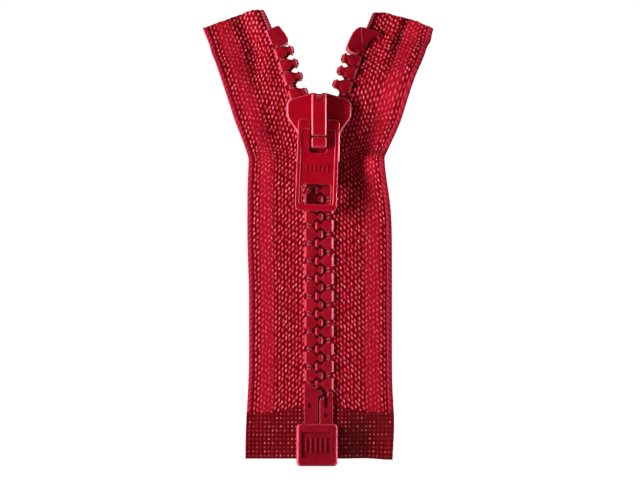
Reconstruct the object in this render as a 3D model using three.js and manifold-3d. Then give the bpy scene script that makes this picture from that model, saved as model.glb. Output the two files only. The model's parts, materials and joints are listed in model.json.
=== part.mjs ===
// Separating (open-end) moulded zipper, ten-centimetre sample.
// Millimetres. The closed chain stands along +Z and the pull side faces -Y.
// Origin: chain centreline, middle of the tape thickness, bottom face of the retainer box.
import * as THREE from "three";
import { mergeVertices } from "three/addons/utils/BufferGeometryUtils.js";
import Module from "manifold-3d";

const wasm = await Module();
wasm.setup();

// Chain
const PITCH = 4.05;
const TEETH_PER_SIDE = 20;
const FIRST_LEFT_TOOTH = 20.85;
const FIRST_RIGHT_TOOTH = 18.83;
const TOOTH_HALF_THICKNESS = 1.3;
const TOOTH_HEAD_HALF_THICKNESS = 1.12;
const TOOTH_HALF_HEIGHT = 1.4;
const CORD_OFFSET = 2.3;
const CORD_RADIUS = 0.55;
const CORD_HOLE_RADIUS = 0.7;
const STOP_HOLE_RADIUS = 0.78;
const WEB_SLOT_HALF = 0.43;
const STOP_SLOT_HALF = 0.5;

// Tape
const TAPE_START = 1.7;
const TAPE_END = 109.6;
const TAPE_REACH = 14.2;
const TAPE_HALF_THICKNESS = 0.25;
const SELVEDGE_HALF_THICKNESS = 0.34;
const SELVEDGE_WIDTH = 1.2;
const FILM_TOP = 12.2;
const FILM_THICKNESS = 0.14;
const FILM_GAP = 0.06;

// Chain path: sideways opening and backward lean, degrees against length
const OPENING_ANGLE = [[69, 0], [77, 15.5], [88, 18.2], [98, 18.8], [104, 23], [200, 23]];
const LEAN_ANGLE = [[83.6, 0], [91.4, 38], [98, 37.5], [107, 27], [200, 24]];
const PATH_STEP = 0.25;

// Retainer box and pins
const BOX = { left: -5.2, right: 4.3, height: 9.8, halfThickness: 2.25 };
const BOX_FLOOR = 1.1;
const PANEL = { left: -3.85, right: 2.9, bottom: 2.1, top: 7.85, depth: 0.45 };
const GRIP_RIBS = 5;
const PIN_HALF_THICKNESS = 1.3;
const LEFT_PIN = { outer: -3.4, inner: -0.25, bottom: 1.25, top: 19.0 };
const RIGHT_PIN = { inner: 0.14, outer: 3.2, bottom: 1.25, top: 16.4 };

// Slider
const SLIDER_BOTTOM = 69.7;
const SLIDER_TOP = 85.8;
const WING_INNER = 1.45;
const WING_OUTER = 2.35;
const CHANNEL_HALF_WIDTH = 3.62;
const CAP_HALF_WIDTH = 1.72;
const CAP_FRONT = 5.9;
const CAP_CEILING = 5.25;
const PIVOT = { y: -3.15, z: 79.1, radius: 0.55 };
const PAWL_HINGE = { y: -4.07, z: 83.2 };

// Pull tab
const PULL_HALF_WIDTH = 4.75;
const PULL_BOTTOM = 58.7;
const PULL_BACK = -2.45;
const PULL_FRONT = -4.05;
const PULL_RECESS = 0.3;
const PULL_RIBS = 6;
const PULL_WINDOW_HALF = 2.05;
const PULL_WINDOW_BOTTOM = 71.9;

function paint(color, roughness, metalness) {
  return new THREE.MeshStandardMaterial({ color, roughness, metalness });
}

const tapeMaterial = () => paint("#a02131", 0.85, 0.0);
const filmMaterial = () => paint("#6e0f16", 0.35, 0.0);
const toothMaterial = () => paint("#9a1523", 0.4, 0.0);
const mouldedMaterial = () => paint("#950d19", 0.38, 0.0);
const enamelMaterial = () => paint("#a80f20", 0.28, 0.3);
const springMaterial = () => paint("#8a8d90", 0.3, 0.9);

function solidOf(geometry) {
  const bare = geometry.index ? geometry.toNonIndexed() : geometry.clone();
  bare.deleteAttribute("normal");
  bare.deleteAttribute("uv");
  const merged = mergeVertices(bare, 1e-4);
  const mesh = new wasm.Mesh({
    numProp: 3,
    vertProperties: new Float32Array(merged.attributes.position.array),
    triVerts: new Uint32Array(merged.index.array),
  });
  return new wasm.Manifold(mesh);
}

function geometryOf(solid) {
  const mesh = solid.getMesh();
  const geometry = new THREE.BufferGeometry();
  geometry.setAttribute("position", new THREE.BufferAttribute(new Float32Array(mesh.vertProperties), 3));
  geometry.setIndex(new THREE.BufferAttribute(new Uint32Array(mesh.triVerts), 1));
  geometry.computeVertexNormals();
  return geometry;
}

function shapeOf(points) {
  return new THREE.Shape(points.map(([a, b]) => new THREE.Vector2(a, b)));
}

function extruded(points, depth, bevel) {
  const geometry = new THREE.ExtrudeGeometry(shapeOf(points), {
    depth: depth - 2 * bevel,
    bevelEnabled: bevel > 0,
    bevelThickness: bevel,
    bevelSize: bevel,
    bevelOffset: -bevel,
    bevelSegments: 1,
    curveSegments: 6,
  });
  geometry.translate(0, 0, bevel);
  return geometry;
}

// Outline in the XZ plane, swept between two Y values
function plateXZ(points, yMin, yMax, bevel = 0) {
  const geometry = extruded(points, yMax - yMin, bevel);
  geometry.rotateX(Math.PI / 2);
  geometry.translate(0, yMax, 0);
  return solidOf(geometry);
}

// Outline in the YZ plane, swept between two X values
function plateYZ(points, xMin, xMax, bevel = 0) {
  const geometry = extruded(points, xMax - xMin, bevel);
  const turn = new THREE.Matrix4().set(0, 0, 1, 0, 1, 0, 0, 0, 0, 1, 0, 0, 0, 0, 0, 1);
  geometry.applyMatrix4(turn);
  geometry.translate(xMin, 0, 0);
  return solidOf(geometry);
}

// Outline in the XY plane, swept between two Z values
function plateXY(points, zMin, zMax) {
  const geometry = extruded(points, zMax - zMin, 0);
  geometry.translate(0, 0, zMin);
  return solidOf(geometry);
}

function block(x0, x1, y0, y1, z0, z1) {
  const geometry = new THREE.BoxGeometry(x1 - x0, y1 - y0, z1 - z0);
  geometry.translate((x0 + x1) / 2, (y0 + y1) / 2, (z0 + z1) / 2);
  return solidOf(geometry);
}

function rodAlongX(x0, x1, y, z, radius, sides) {
  const geometry = new THREE.CylinderGeometry(radius, radius, x1 - x0, sides);
  geometry.rotateZ(Math.PI / 2);
  geometry.translate((x0 + x1) / 2, y, z);
  return solidOf(geometry);
}

function ringPoints(cx, cy, rx, ry, sides) {
  const points = [];
  for (let i = 0; i < sides; i += 1) {
    const angle = (2 * Math.PI * (i + 0.5)) / sides;
    points.push([cx + rx * Math.cos(angle), cy + ry * Math.sin(angle)]);
  }
  return points;
}

function roundedRect(x0, x1, z0, z1, radius, steps = 3) {
  const points = [];
  const corners = [[x1 - radius, z0 + radius, -90], [x1 - radius, z1 - radius, 0],
    [x0 + radius, z1 - radius, 90], [x0 + radius, z0 + radius, 180]];
  for (const [cx, cz, from] of corners) {
    for (let i = 0; i <= steps; i += 1) {
      const angle = THREE.MathUtils.degToRad(from + (90 * i) / steps);
      points.push([cx + radius * Math.cos(angle), cz + radius * Math.sin(angle)]);
    }
  }
  return points;
}

function mirrorOutline(half) {
  const back = half.slice().reverse().map(([x, z]) => [-x, z]);
  return half.concat(back);
}

function named(name, solid, material) {
  const mesh = new THREE.Mesh(geometryOf(solid), material);
  mesh.name = name;
  return mesh;
}

// Chain path ---------------------------------------------------------------

function eased(table, s) {
  if (s <= table[0][0]) {
    return table[0][1];
  }
  for (let i = 1; i < table.length; i += 1) {
    const [s1, v1] = table[i];
    const [s0, v0] = table[i - 1];
    if (s <= s1) {
      return v0 + (v1 - v0) * THREE.MathUtils.smoothstep(s, s0, s1);
    }
  }
  return table[table.length - 1][1];
}

function alongDirection(s, side) {
  const opening = THREE.MathUtils.degToRad(eased(OPENING_ANGLE, s));
  const lean = THREE.MathUtils.degToRad(eased(LEAN_ANGLE, s));
  return new THREE.Vector3(
    side * Math.sin(opening) * Math.cos(lean),
    Math.sin(lean),
    Math.cos(opening) * Math.cos(lean),
  );
}

// Frame on the bead cord at length s: side -1 is the left tape, +1 the right tape
function pathFrame(s, side) {
  const position = new THREE.Vector3(side * CORD_OFFSET, 0, Math.min(s, OPENING_ANGLE[0][0]));
  let at = OPENING_ANGLE[0][0];
  while (at < s - 1e-9) {
    const step = Math.min(PATH_STEP, s - at);
    position.addScaledVector(alongDirection(at + step / 2, side), step);
    at += step;
  }
  const opening = THREE.MathUtils.degToRad(eased(OPENING_ANGLE, s));
  const along = alongDirection(s, side);
  const outward = new THREE.Vector3(side * Math.cos(opening), 0, -Math.sin(opening));
  const front = outward.clone().cross(along).multiplyScalar(side);
  return { position, along, outward, front };
}

// Matrix taking local axes (inward from the cord, backward, along) to the chain at length s
function clampMatrix(s, side) {
  const { position, along, outward, front } = pathFrame(s, side);
  const inward = outward.clone().negate();
  const back = front.clone().negate();
  const third = along.clone().multiplyScalar(-side);
  return new THREE.Matrix4().makeBasis(inward, back, third).setPosition(position);
}

function placed(solid, matrix) {
  const geometry = geometryOf(solid);
  geometry.applyMatrix4(matrix);
  return solidOf(geometry);
}

// Tape ---------------------------------------------------------------------

function tapeFold(s, u) {
  const leg = THREE.MathUtils.smoothstep(s, 88, 97);
  const valley = -0.9 * Math.exp(-(((u - 7.2) / 1.4) ** 2));
  const ridge = 0.7 * Math.exp(-(((u - 10.3) / 1.7) ** 2));
  const bulge = 0.9 * Math.exp(-(((s - 80) / 5) ** 2)) * THREE.MathUtils.smoothstep(u, 4.8, 11);
  return leg * (valley + ridge) + bulge;
}

function tapePoint(s, side, u, v) {
  const { position, along, outward, front } = pathFrame(s, side);
  const fan = (2.0 * THREE.MathUtils.smoothstep(s, 86, 106) * Math.max(u, 0)) / TAPE_REACH;
  const fold = u > 1.2 ? tapeFold(s, u) : 0;
  return position
    .addScaledVector(outward, u)
    .addScaledVector(front, v + fold)
    .addScaledVector(along, fan);
}

function tapeSection() {
  const lip = TAPE_REACH - SELVEDGE_WIDTH;
  const half = [];
  for (const degrees of [180, 135, 90, 45]) {
    const angle = THREE.MathUtils.degToRad(degrees);
    half.push([CORD_RADIUS * Math.cos(angle), CORD_RADIUS * Math.sin(angle)]);
  }
  for (const u of [0.62, 4.6, 6.0, 7.2, 8.7, 10.3, 12.0]) {
    half.push([u, TAPE_HALF_THICKNESS]);
  }
  half.push([lip, TAPE_HALF_THICKNESS], [lip + 0.25, SELVEDGE_HALF_THICKNESS]);
  half.push([TAPE_REACH - 0.2, SELVEDGE_HALF_THICKNESS], [TAPE_REACH, 0]);
  const lower = half.slice(1, -1).reverse().map(([u, v]) => [u, -v]);
  return half.concat(lower);
}

function tapeStations() {
  const stations = [TAPE_START, FILM_TOP + 1];
  for (let s = 69; s < 87; s += 1.5) {
    stations.push(s);
  }
  for (let s = 87; s < TAPE_END - 1; s += 1.9) {
    stations.push(s);
  }
  stations.push(TAPE_END);
  return stations;
}

function tapeSolid(side) {
  const section = tapeSection();
  const stations = tapeStations();
  const positions = [];
  for (const s of stations) {
    for (const [u, v] of section) {
      positions.push(...tapePoint(s, side, u, v).toArray());
    }
  }
  const count = section.length;
  const index = [];
  for (let row = 0; row < stations.length - 1; row += 1) {
    for (let i = 0; i < count; i += 1) {
      const a = row * count + i;
      const b = row * count + ((i + 1) % count);
      index.push(a, b, a + count, b, b + count, a + count);
    }
  }
  const faces = THREE.ShapeUtils.triangulateShape(section.map(([u, v]) => new THREE.Vector2(u, v)), []);
  const top = (stations.length - 1) * count;
  for (const [a, b, c] of faces) {
    index.push(a, b, c, top + a, top + c, top + b);
  }
  const geometry = new THREE.BufferGeometry();
  geometry.setAttribute("position", new THREE.Float32BufferAttribute(positions, 3));
  geometry.setIndex(side > 0 ? flipped(index) : index);
  return outwardFacing(geometry);
}

function flipped(index) {
  const out = [];
  for (let i = 0; i < index.length; i += 3) {
    out.push(index[i], index[i + 2], index[i + 1]);
  }
  return out;
}

// Turns a closed surface so that its faces point out
function outwardFacing(geometry) {
  const solid = solidOf(geometry);
  if (solid.volume() > 0) {
    return solid;
  }
  const turned = geometry.clone();
  turned.setIndex(flipped(Array.from(geometry.index.array)));
  return solidOf(turned);
}

// Laminated film over the tape beside the box, one strip on each face
function filmSolid(side, face) {
  const flat = TAPE_HALF_THICKNESS + FILM_GAP;
  const raised = SELVEDGE_HALF_THICKNESS + FILM_GAP;
  const lip = TAPE_REACH - SELVEDGE_WIDTH;
  const inner = 1.2;
  const outline = [[inner, flat], [lip - 0.12, flat], [lip + 0.1, raised], [TAPE_REACH, raised],
    [TAPE_REACH, raised + FILM_THICKNESS], [lip + 0.05, raised + FILM_THICKNESS],
    [lip - 0.2, flat + FILM_THICKNESS], [inner, flat + FILM_THICKNESS]];
  const points = outline.map(([u, v]) => [side * (CORD_OFFSET + u), -face * v]);
  const clockwise = THREE.ShapeUtils.isClockWise(points.map(([x, y]) => new THREE.Vector2(x, y)));
  return plateXY(clockwise ? points.reverse() : points, TAPE_START, FILM_TOP);
}

// Teeth --------------------------------------------------------------------

// Hole for the bead cord and slot for the tape web, open on the outer side
function cordKeyhole(outer, zMin, zMax, radius = CORD_HOLE_RADIUS, slotHalf = WEB_SLOT_HALF) {
  const hole = plateXY(ringPoints(0, 0, radius, radius, 8), zMin, zMax);
  const slot = block(outer - 1, -0.3, -slotHalf, slotHalf, zMin, zMax);
  return hole.add(slot);
}

function toothSolid() {
  const upper = [[-1.07, TOOTH_HALF_HEIGHT], [0.95, TOOTH_HALF_HEIGHT], [1.55, 0.45], [2.23, 0.45],
    [2.5, 0.93], [2.95, 0.93], [3.27, 0.4]];
  const lower = upper.slice().reverse().map(([x, z]) => [x, -z]);
  const outline = upper.concat(lower).reverse();
  const body = plateXZ(outline, -TOOTH_HALF_THICKNESS, TOOTH_HALF_THICKNESS);
  const side = [[-1.07, 1.08], [-0.82, TOOTH_HALF_THICKNESS], [1.0, TOOTH_HALF_THICKNESS],
    [1.5, TOOTH_HEAD_HALF_THICKNESS], [2.95, TOOTH_HEAD_HALF_THICKNESS], [3.27, 0.75]];
  const profile = side.slice().reverse().concat(side.map(([x, y]) => [x, -y]));
  const section = plateXY(profile, -2, 2);
  return body.intersect(section).subtract(cordKeyhole(-1.07, -2, 2));
}

function addTeeth(group) {
  const tooth = toothSolid();
  for (const [label, side, first] of [["left", -1, FIRST_LEFT_TOOTH], ["right", 1, FIRST_RIGHT_TOOTH]]) {
    for (let k = 0; k < TEETH_PER_SIDE; k += 1) {
      const matrix = clampMatrix(first + PITCH * k, side);
      const name = `tooth_${label}_${String(k + 1).padStart(2, "0")}`;
      group.add(named(name, placed(tooth, matrix), toothMaterial()));
    }
  }
}

// Box and pins ---------------------------------------------------------------

function boxSolid() {
  const outline = roundedRect(BOX.left, BOX.right, 0, BOX.height, 1.1);
  let solid = plateXZ(outline, -BOX.halfThickness, BOX.halfThickness, 0.35);
  const gap = 0.1;
  const inside = PIN_HALF_THICKNESS + gap;
  const high = BOX.height + 1;
  for (const [from, to] of [[LEFT_PIN.outer, LEFT_PIN.inner], [RIGHT_PIN.inner, RIGHT_PIN.outer]]) {
    solid = solid.subtract(block(from - gap, to + gap, -inside, inside, BOX_FLOOR, high));
  }
  const slot = 0.6;
  solid = solid.subtract(block(BOX.left - 1, LEFT_PIN.outer, -slot, slot, TAPE_START - 0.15, high));
  solid = solid.subtract(block(RIGHT_PIN.outer, BOX.right + 1, -slot, slot, TAPE_START - 0.15, high));
  const face = -BOX.halfThickness;
  const recess = roundedRect(PANEL.left, PANEL.right, PANEL.bottom, PANEL.top, 0.5, 2);
  solid = solid.subtract(plateXZ(recess, face - 1, face + PANEL.depth));
  const span = PANEL.right - PANEL.left;
  for (let i = 0; i < GRIP_RIBS; i += 1) {
    const x = PANEL.left + (span * (i + 1)) / (GRIP_RIBS + 1);
    const rib = [[-0.24, 0.1], [0.24, 0.1], [0.12, -0.2], [-0.12, -0.2]];
    const points = rib.map(([dx, dy]) => [x + dx, face + PANEL.depth + dy]).reverse();
    solid = solid.add(plateXY(points, PANEL.bottom + 1.1, PANEL.top - 1.1));
  }
  return solid;
}

function pinKeyhole(x, zMin, zMax, outerSign) {
  const hole = plateXY(ringPoints(x, 0, CORD_HOLE_RADIUS, CORD_HOLE_RADIUS, 8), zMin, zMax);
  const reach = x + outerSign * 3;
  const slot = block(Math.min(x, reach), Math.max(x, reach), -WEB_SLOT_HALF, WEB_SLOT_HALF, zMin, zMax);
  return hole.add(slot);
}

// Fixed pin that carries the box on the left tape
function leftPinSolid() {
  const { outer, inner, bottom, top } = LEFT_PIN;
  const headZ = top - 2.2;
  const outline = [[outer, bottom], [inner, bottom], [inner, headZ - 0.9], [inner + 0.1, headZ - 0.45],
    [inner + 0.3, headZ - 0.72], [inner + 0.7, headZ - 0.62], [inner + 1.0, headZ - 0.25],
    [inner + 1.0, headZ + 0.25], [inner + 0.7, headZ + 0.62], [inner + 0.3, headZ + 0.72],
    [inner + 0.1, headZ + 0.45], [inner - 0.45, headZ + 0.75], [inner - 1.0, top], [outer, top]];
  let solid = plateXZ(outline, -PIN_HALF_THICKNESS, PIN_HALF_THICKNESS);
  solid = solid.subtract(pinKeyhole(-CORD_OFFSET, TAPE_START - 0.1, top + 1, -1));
  const dimple = ringPoints(-2.25, 13.9, 0.32, 0.5, 8);
  return solid.subtract(plateXZ(dimple, -2, -PIN_HALF_THICKNESS + 0.3));
}

// Insertion pin on the right tape, free to lift out of the box
function insertionPinSolid() {
  const { inner, outer, bottom, top } = RIGHT_PIN;
  const outline = [[inner, bottom + 0.3], [inner + 0.3, bottom], [outer - 0.3, bottom], [outer, bottom + 0.3],
    [outer, top - 0.3], [outer - 0.3, top], [1.6, top], [1.1, top - 0.9], [inner + 0.2, top - 1.0],
    [inner, top - 1.3]];
  let solid = plateXZ(outline, -PIN_HALF_THICKNESS, PIN_HALF_THICKNESS);
  solid = solid.subtract(pinKeyhole(CORD_OFFSET, TAPE_START - 0.1, top + 1, 1));
  const groove = roundedRect(1.15, 1.6, 13.3, 15.0, 0.2, 2);
  solid = solid.subtract(plateXZ(groove, -2, -PIN_HALF_THICKNESS + 0.45));
  const dimple = ringPoints(1.5, 11.7, 0.38, 0.38, 8);
  return solid.subtract(plateXZ(dimple, -2, -PIN_HALF_THICKNESS + 0.45));
}

// Top stops ------------------------------------------------------------------

function leftStopSolid() {
  const outline = [[-1.07, -3.0], [2.9, -3.0], [3.3, -2.6], [3.55, -1.0], [3.5, 1.0], [2.8, 2.7],
    [2.2, 3.0], [-1.07, 3.0]];
  const body = plateXZ(outline, -TOOTH_HALF_THICKNESS, TOOTH_HALF_THICKNESS, 0.2);
  return body.subtract(cordKeyhole(-1.07, -4, 4, STOP_HOLE_RADIUS, STOP_SLOT_HALF));
}

function rightStopSolid() {
  const flag = [[-1.07, -3.1], [1.2, -3.1], [2.6, -2.5], [3.4, -1.1], [3.3, 0.8], [2.2, 2.6], [1.4, 3.0],
    [-1.07, 3.0]];
  const plate = [[-4.2, -0.6], [-2.6, -2.4], [-0.9, -2.9], [-0.9, 3.1], [-3.2, 3.1], [-4.2, 2.2]];
  let body = plateXZ(flag, -TOOTH_HALF_THICKNESS, TOOTH_HALF_THICKNESS, 0.2);
  body = body.add(plateXZ(plate, -0.9, 0.9));
  body = body.subtract(cordKeyhole(-4.2, -4, 4, STOP_HOLE_RADIUS, STOP_SLOT_HALF));
  const opening = ringPoints(-2.5, 0.2, 0.58, 1.05, 10);
  return body.subtract(plateXZ(opening, -2, -0.2));
}

// Slider -----------------------------------------------------------------------

function sliderOutline() {
  return mirrorOutline([[4.55, SLIDER_BOTTOM], [4.7, SLIDER_BOTTOM + 0.4], [4.75, 75.2], [5.4, 77.4],
    [7.1, 79.9], [7.4, 80.9], [7.4, 83.2], [6.9, 84.2], [3.6, 85.2], [1.6, SLIDER_TOP]]);
}

function channelOutline() {
  return mirrorOutline([[CHANNEL_HALF_WIDTH + 0.15, SLIDER_BOTTOM - 1],
    [CHANNEL_HALF_WIDTH, SLIDER_BOTTOM + 0.6], [3.8, 73.4], [4.85, 77.4], [6.05, 80.4], [6.5, 82.2],
    [7.2, 84.2], [8.2, 87.5]]);
}

function mouthFlare() {
  const start = SLIDER_TOP - 1.9;
  const end = SLIDER_TOP + 1;
  const wide = WING_INNER + 0.8;
  const outline = [[-WING_INNER, start], [WING_INNER, start], [wide, end], [-wide, end]];
  return plateYZ(outline, -8, 8);
}

function dividerPost() {
  const outline = mirrorOutline([[0.3, 80.3], [1.25, 82.4], [1.55, 84.0], [1.1, 85.3]]);
  return plateXZ(outline, -WING_INNER - 0.6, WING_INNER + 0.6);
}

function rearPost() {
  const front = -CAP_FRONT + 0.35;
  const profile = [[-WING_OUTER + 0.4, 72.9], [-WING_OUTER + 0.4, 75.55], [front, 75.55], [front, 73.9],
    [front + 0.45, 73.2], [front + 1.2, 72.9]];
  return plateYZ(profile.reverse(), -CAP_HALF_WIDTH, CAP_HALF_WIDTH, 0.3);
}

function frontPost() {
  const profile = [[-WING_OUTER + 0.4, 84.15], [-WING_OUTER + 0.4, 85.45], [-4.2, 85.6], [-5.1, 85.1],
    [-5.35, 84.3], [-5.35, 84.15]];
  return plateYZ(profile, -0.72, 0.72);
}

function sliderSolid() {
  let solid = plateXZ(sliderOutline(), -WING_OUTER, WING_OUTER, 0.32);
  solid = solid.subtract(plateXZ(channelOutline(), -WING_INNER, WING_INNER));
  solid = solid.subtract(block(-9, 9, -0.5, 0.5, SLIDER_BOTTOM - 2, SLIDER_TOP + 2));
  solid = solid.subtract(mouthFlare());
  solid = solid.add(dividerPost());
  solid = solid.add(rearPost());
  solid = solid.add(frontPost());
  return solid.subtract(block(-0.95, 0.95, -WING_OUTER - 0.2, -WING_INNER + 0.2, 76.4, 77.6));
}

function capProfile() {
  const front = -CAP_FRONT;
  const back = -WING_OUTER - 0.07;
  return [[back, 75.75], [back, 85.9], [front + 1.7, 85.9], [front + 0.8, 85.6], [front + 0.2, 84.9],
    [front, 84.0], [front, 76.3], [front + 0.25, 75.9], [front + 0.6, 75.75]];
}

function capSolid() {
  let solid = plateYZ(capProfile(), -CAP_HALF_WIDTH, CAP_HALF_WIDTH, 0.3);
  solid = solid.subtract(block(-1.05, 1.05, -CAP_CEILING, 0, 76.4, 84.0));
  solid = solid.subtract(block(-3, 3, -3.95, 0, PIVOT.z - 0.78, PIVOT.z + 0.78));
  return solid.subtract(block(-0.86, 0.86, -9, 0, 83.8, 88));
}

// Flat lever hung at its upper end, with a hooked tip that reaches through the front wing
function pawlSolid() {
  const front = PAWL_HINGE.y - 0.18;
  const back = PAWL_HINGE.y + 0.17;
  const top = PAWL_HINGE.z + 0.4;
  const profile = [[front, top], [front, 76.8], [-3.0, 76.8], [-1.36, 76.9], [-1.36, 77.2], [-3.0, 77.35],
    [back, 77.5], [back, top]];
  return plateYZ(profile, -0.75, 0.75);
}

// Leaf spring, a shallow arch lying on the pawl
function springSolid() {
  const outer = [];
  const inner = [];
  for (let i = 0; i <= 6; i += 1) {
    const t = i / 6;
    const rise = 0.36 * Math.sin(Math.PI * t);
    outer.push([-4.46 - rise, 77.6 + 5.6 * t]);
    inner.push([-4.31 - rise, 77.6 + 5.6 * t]);
  }
  return plateYZ(outer.concat(inner.reverse()).reverse(), -0.6, 0.6);
}

function pullSolid() {
  const plate = roundedRect(-PULL_HALF_WIDTH, PULL_HALF_WIDTH, PULL_BOTTOM, PIVOT.z + 0.7, 1.1);
  let solid = plateXZ(plate, PULL_FRONT, PULL_BACK, 0.28);
  const hub = [[PULL_BACK, 50], [PULL_BACK, 78.6], [PIVOT.y + 0.62, 79.5], [PIVOT.y + 0.3, 79.8],
    [PIVOT.y - 0.3, 79.8], [PIVOT.y - 0.62, 79.5], [PIVOT.y - 0.72, 78.4], [PULL_FRONT, 76.6],
    [PULL_FRONT, 50]];
  solid = solid.intersect(plateYZ(hub.reverse(), -6, 6));
  const window = roundedRect(-PULL_WINDOW_HALF, PULL_WINDOW_HALF, PULL_WINDOW_BOTTOM, PIVOT.z + 3, 0.8);
  solid = solid.subtract(plateXZ(window, -6, 0));
  const opening = roundedRect(-3.3, 3.3, 60.2, 64.8, 0.7);
  solid = solid.subtract(plateXZ(opening, -6, 0));
  const panelFloor = PULL_FRONT + PULL_RECESS;
  const panel = roundedRect(-3.9, 3.9, 60.0, 77.4, 0.5, 2);
  solid = solid.subtract(plateXZ(panel, -6, panelFloor));
  for (let i = 0; i < PULL_RIBS; i += 1) {
    const x = (i - (PULL_RIBS - 1) / 2) * 0.95;
    solid = solid.add(block(x - 0.16, x + 0.16, panelFloor - 0.2, panelFloor + 0.1, 67.6, 69.2));
  }
  return solid.add(rodAlongX(-2.6, 2.6, PIVOT.y, PIVOT.z, PIVOT.radius, 12));
}

// Assembly ---------------------------------------------------------------------

const group = new THREE.Group();
group.name = "zipper";
group.add(named("left_tape", tapeSolid(-1), tapeMaterial()));
group.add(named("right_tape", tapeSolid(1), tapeMaterial()));
for (const [label, side] of [["left", -1], ["right", 1]]) {
  group.add(named(`${label}_film_front`, filmSolid(side, 1), filmMaterial()));
  group.add(named(`${label}_film_back`, filmSolid(side, -1), filmMaterial()));
}
addTeeth(group);
group.add(named("retainer_box", boxSolid(), mouldedMaterial()));
group.add(named("retaining_pin", leftPinSolid(), mouldedMaterial()));
group.add(named("insertion_pin", insertionPinSolid(), mouldedMaterial()));
group.add(named("left_top_stop", placed(leftStopSolid(), clampMatrix(102.8, -1)), mouldedMaterial()));
group.add(named("right_top_stop", placed(rightStopSolid(), clampMatrix(102.6, 1)), mouldedMaterial()));
group.add(named("slider_body", sliderSolid(), enamelMaterial()));
group.add(named("slider_cap", capSolid(), enamelMaterial()));
group.add(named("lock_pawl", pawlSolid(), springMaterial()));
group.add(named("lock_spring", springSolid(), springMaterial()));
group.add(named("pull_tab", pullSolid(), enamelMaterial()));

export default group;
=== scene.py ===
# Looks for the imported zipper: looped tapes, moulded chain, enamelled slider, soft studio light.
# Shapes are worked out in millimetres and written to the meshes in metres.
import json
import math

import bmesh
import bpy
import numpy as np
from mathutils import Matrix, Vector

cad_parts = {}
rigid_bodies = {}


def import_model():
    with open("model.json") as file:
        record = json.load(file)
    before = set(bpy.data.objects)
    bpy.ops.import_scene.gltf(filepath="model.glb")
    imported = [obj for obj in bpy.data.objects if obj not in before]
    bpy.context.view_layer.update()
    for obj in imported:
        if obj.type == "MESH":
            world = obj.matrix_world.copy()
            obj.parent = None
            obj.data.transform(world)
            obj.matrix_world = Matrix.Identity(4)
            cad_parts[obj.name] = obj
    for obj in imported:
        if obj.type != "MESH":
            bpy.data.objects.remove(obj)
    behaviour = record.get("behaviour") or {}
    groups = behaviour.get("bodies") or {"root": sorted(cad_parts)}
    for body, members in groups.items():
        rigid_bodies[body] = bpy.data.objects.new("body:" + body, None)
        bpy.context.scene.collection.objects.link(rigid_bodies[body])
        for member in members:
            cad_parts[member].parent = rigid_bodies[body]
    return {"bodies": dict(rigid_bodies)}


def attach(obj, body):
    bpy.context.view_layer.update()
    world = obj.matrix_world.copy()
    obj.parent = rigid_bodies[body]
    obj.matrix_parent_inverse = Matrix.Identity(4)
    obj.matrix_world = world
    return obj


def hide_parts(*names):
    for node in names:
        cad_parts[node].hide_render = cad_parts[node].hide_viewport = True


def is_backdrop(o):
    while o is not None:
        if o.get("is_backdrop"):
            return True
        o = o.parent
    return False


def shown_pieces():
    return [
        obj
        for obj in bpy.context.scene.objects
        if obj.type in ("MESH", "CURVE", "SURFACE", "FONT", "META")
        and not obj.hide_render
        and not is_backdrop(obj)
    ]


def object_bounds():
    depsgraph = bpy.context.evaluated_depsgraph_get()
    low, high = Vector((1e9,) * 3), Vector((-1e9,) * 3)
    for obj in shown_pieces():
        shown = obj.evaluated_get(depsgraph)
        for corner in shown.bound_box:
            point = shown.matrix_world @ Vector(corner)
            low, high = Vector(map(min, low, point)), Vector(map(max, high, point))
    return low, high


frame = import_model()
cad_box = [list(corner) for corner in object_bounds()]

MM = 0.001
SIDES = {"left": -1, "right": 1}

# Chain
PITCH = 4.05
TEETH_PER_SIDE = 20
FIRST_TOOTH = {"left": 20.85, "right": 18.83}
STOP_LENGTH = {"left": 102.8, "right": 101.9}
CORD_OFFSET = 2.3
CORD_RADIUS = 0.55
PIN_HALF_THICKNESS = 1.3

# Tape
TAPE_START = 1.7
TAPE_END = 109.6
TAPE_REACH = 14.2
WEB_HALF_THICKNESS = 0.2
SELVEDGE_START = 12.95
SELVEDGE_HALF_THICKNESS = 0.33
FILM_TOP = 12.2
LOOP_HEIGHT = 0.13
WALE = 0.81
COURSE = 1.25
LOOP_STEP = 0.34
LOOP_TILT = math.radians(20)
LOOP_HALF = (0.30, 0.60)
# Half sizes of the painted highlight on each loop's crown
CROWN_HIGHLIGHT_HALF = (0.15, 0.33)
FILM_CELL = (0.86, 0.96)
# Top edge of each tape with the slider at rest, (x, z), from the outer corner to the stop
TOP_EDGE = {
    -1: ((-26.4, 101.0), (-15.6, 105.1), (-12.9, 105.0), (-10.8, 100.9)),
    1: ((26.6, 100.3), (21.6, 102.75), (15.4, 104.5), (12.7, 104.4), (10.3, 100.8))}

# Path of the chain past the slider, degrees against length along the cord
OPENING_ANGLE = ((69, 0), (77, 15.5), (88, 18.2), (98, 18.8), (104, 23), (120, 20), (175, 6))
LEAN_ANGLE = ((83.6, 0), (91.4, 38), (98, 37.5), (107, 27), (126, 13), (175, 3))
PATH_LOW, PATH_HIGH, PATH_STEP = -16.0, 176.0, 0.25
SHEET_LOW, SHEET_STEP, SHEET_COLUMNS = -2.0, 0.4, 44
CLAMPED_UNTIL, FREE_FROM = 16.5, 22.5
EDGE_LAG = 14.0                     # the outer edge only comes free this much farther up
TOOTH_LEAN_SHARE = 0.45
LEAN_SCALE = {-1: 1.0, 1: 1.09}

# Slider, crown and pull
SLIDER_BOTTOM, SLIDER_TOP = 69.7, 85.8
WING_INNER, WING_OUTER = 1.45, 2.35
CAP_HALF_WIDTH, CAP_FRONT, CAP_CEILING = 1.72, 5.9, 5.25
PIVOT_Y, PIVOT_Z = -3.15, 79.1
PULL_BACK, PULL_FRONT = -2.45, -4.05
PULL_ASKEW = math.radians(2.2)

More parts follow.
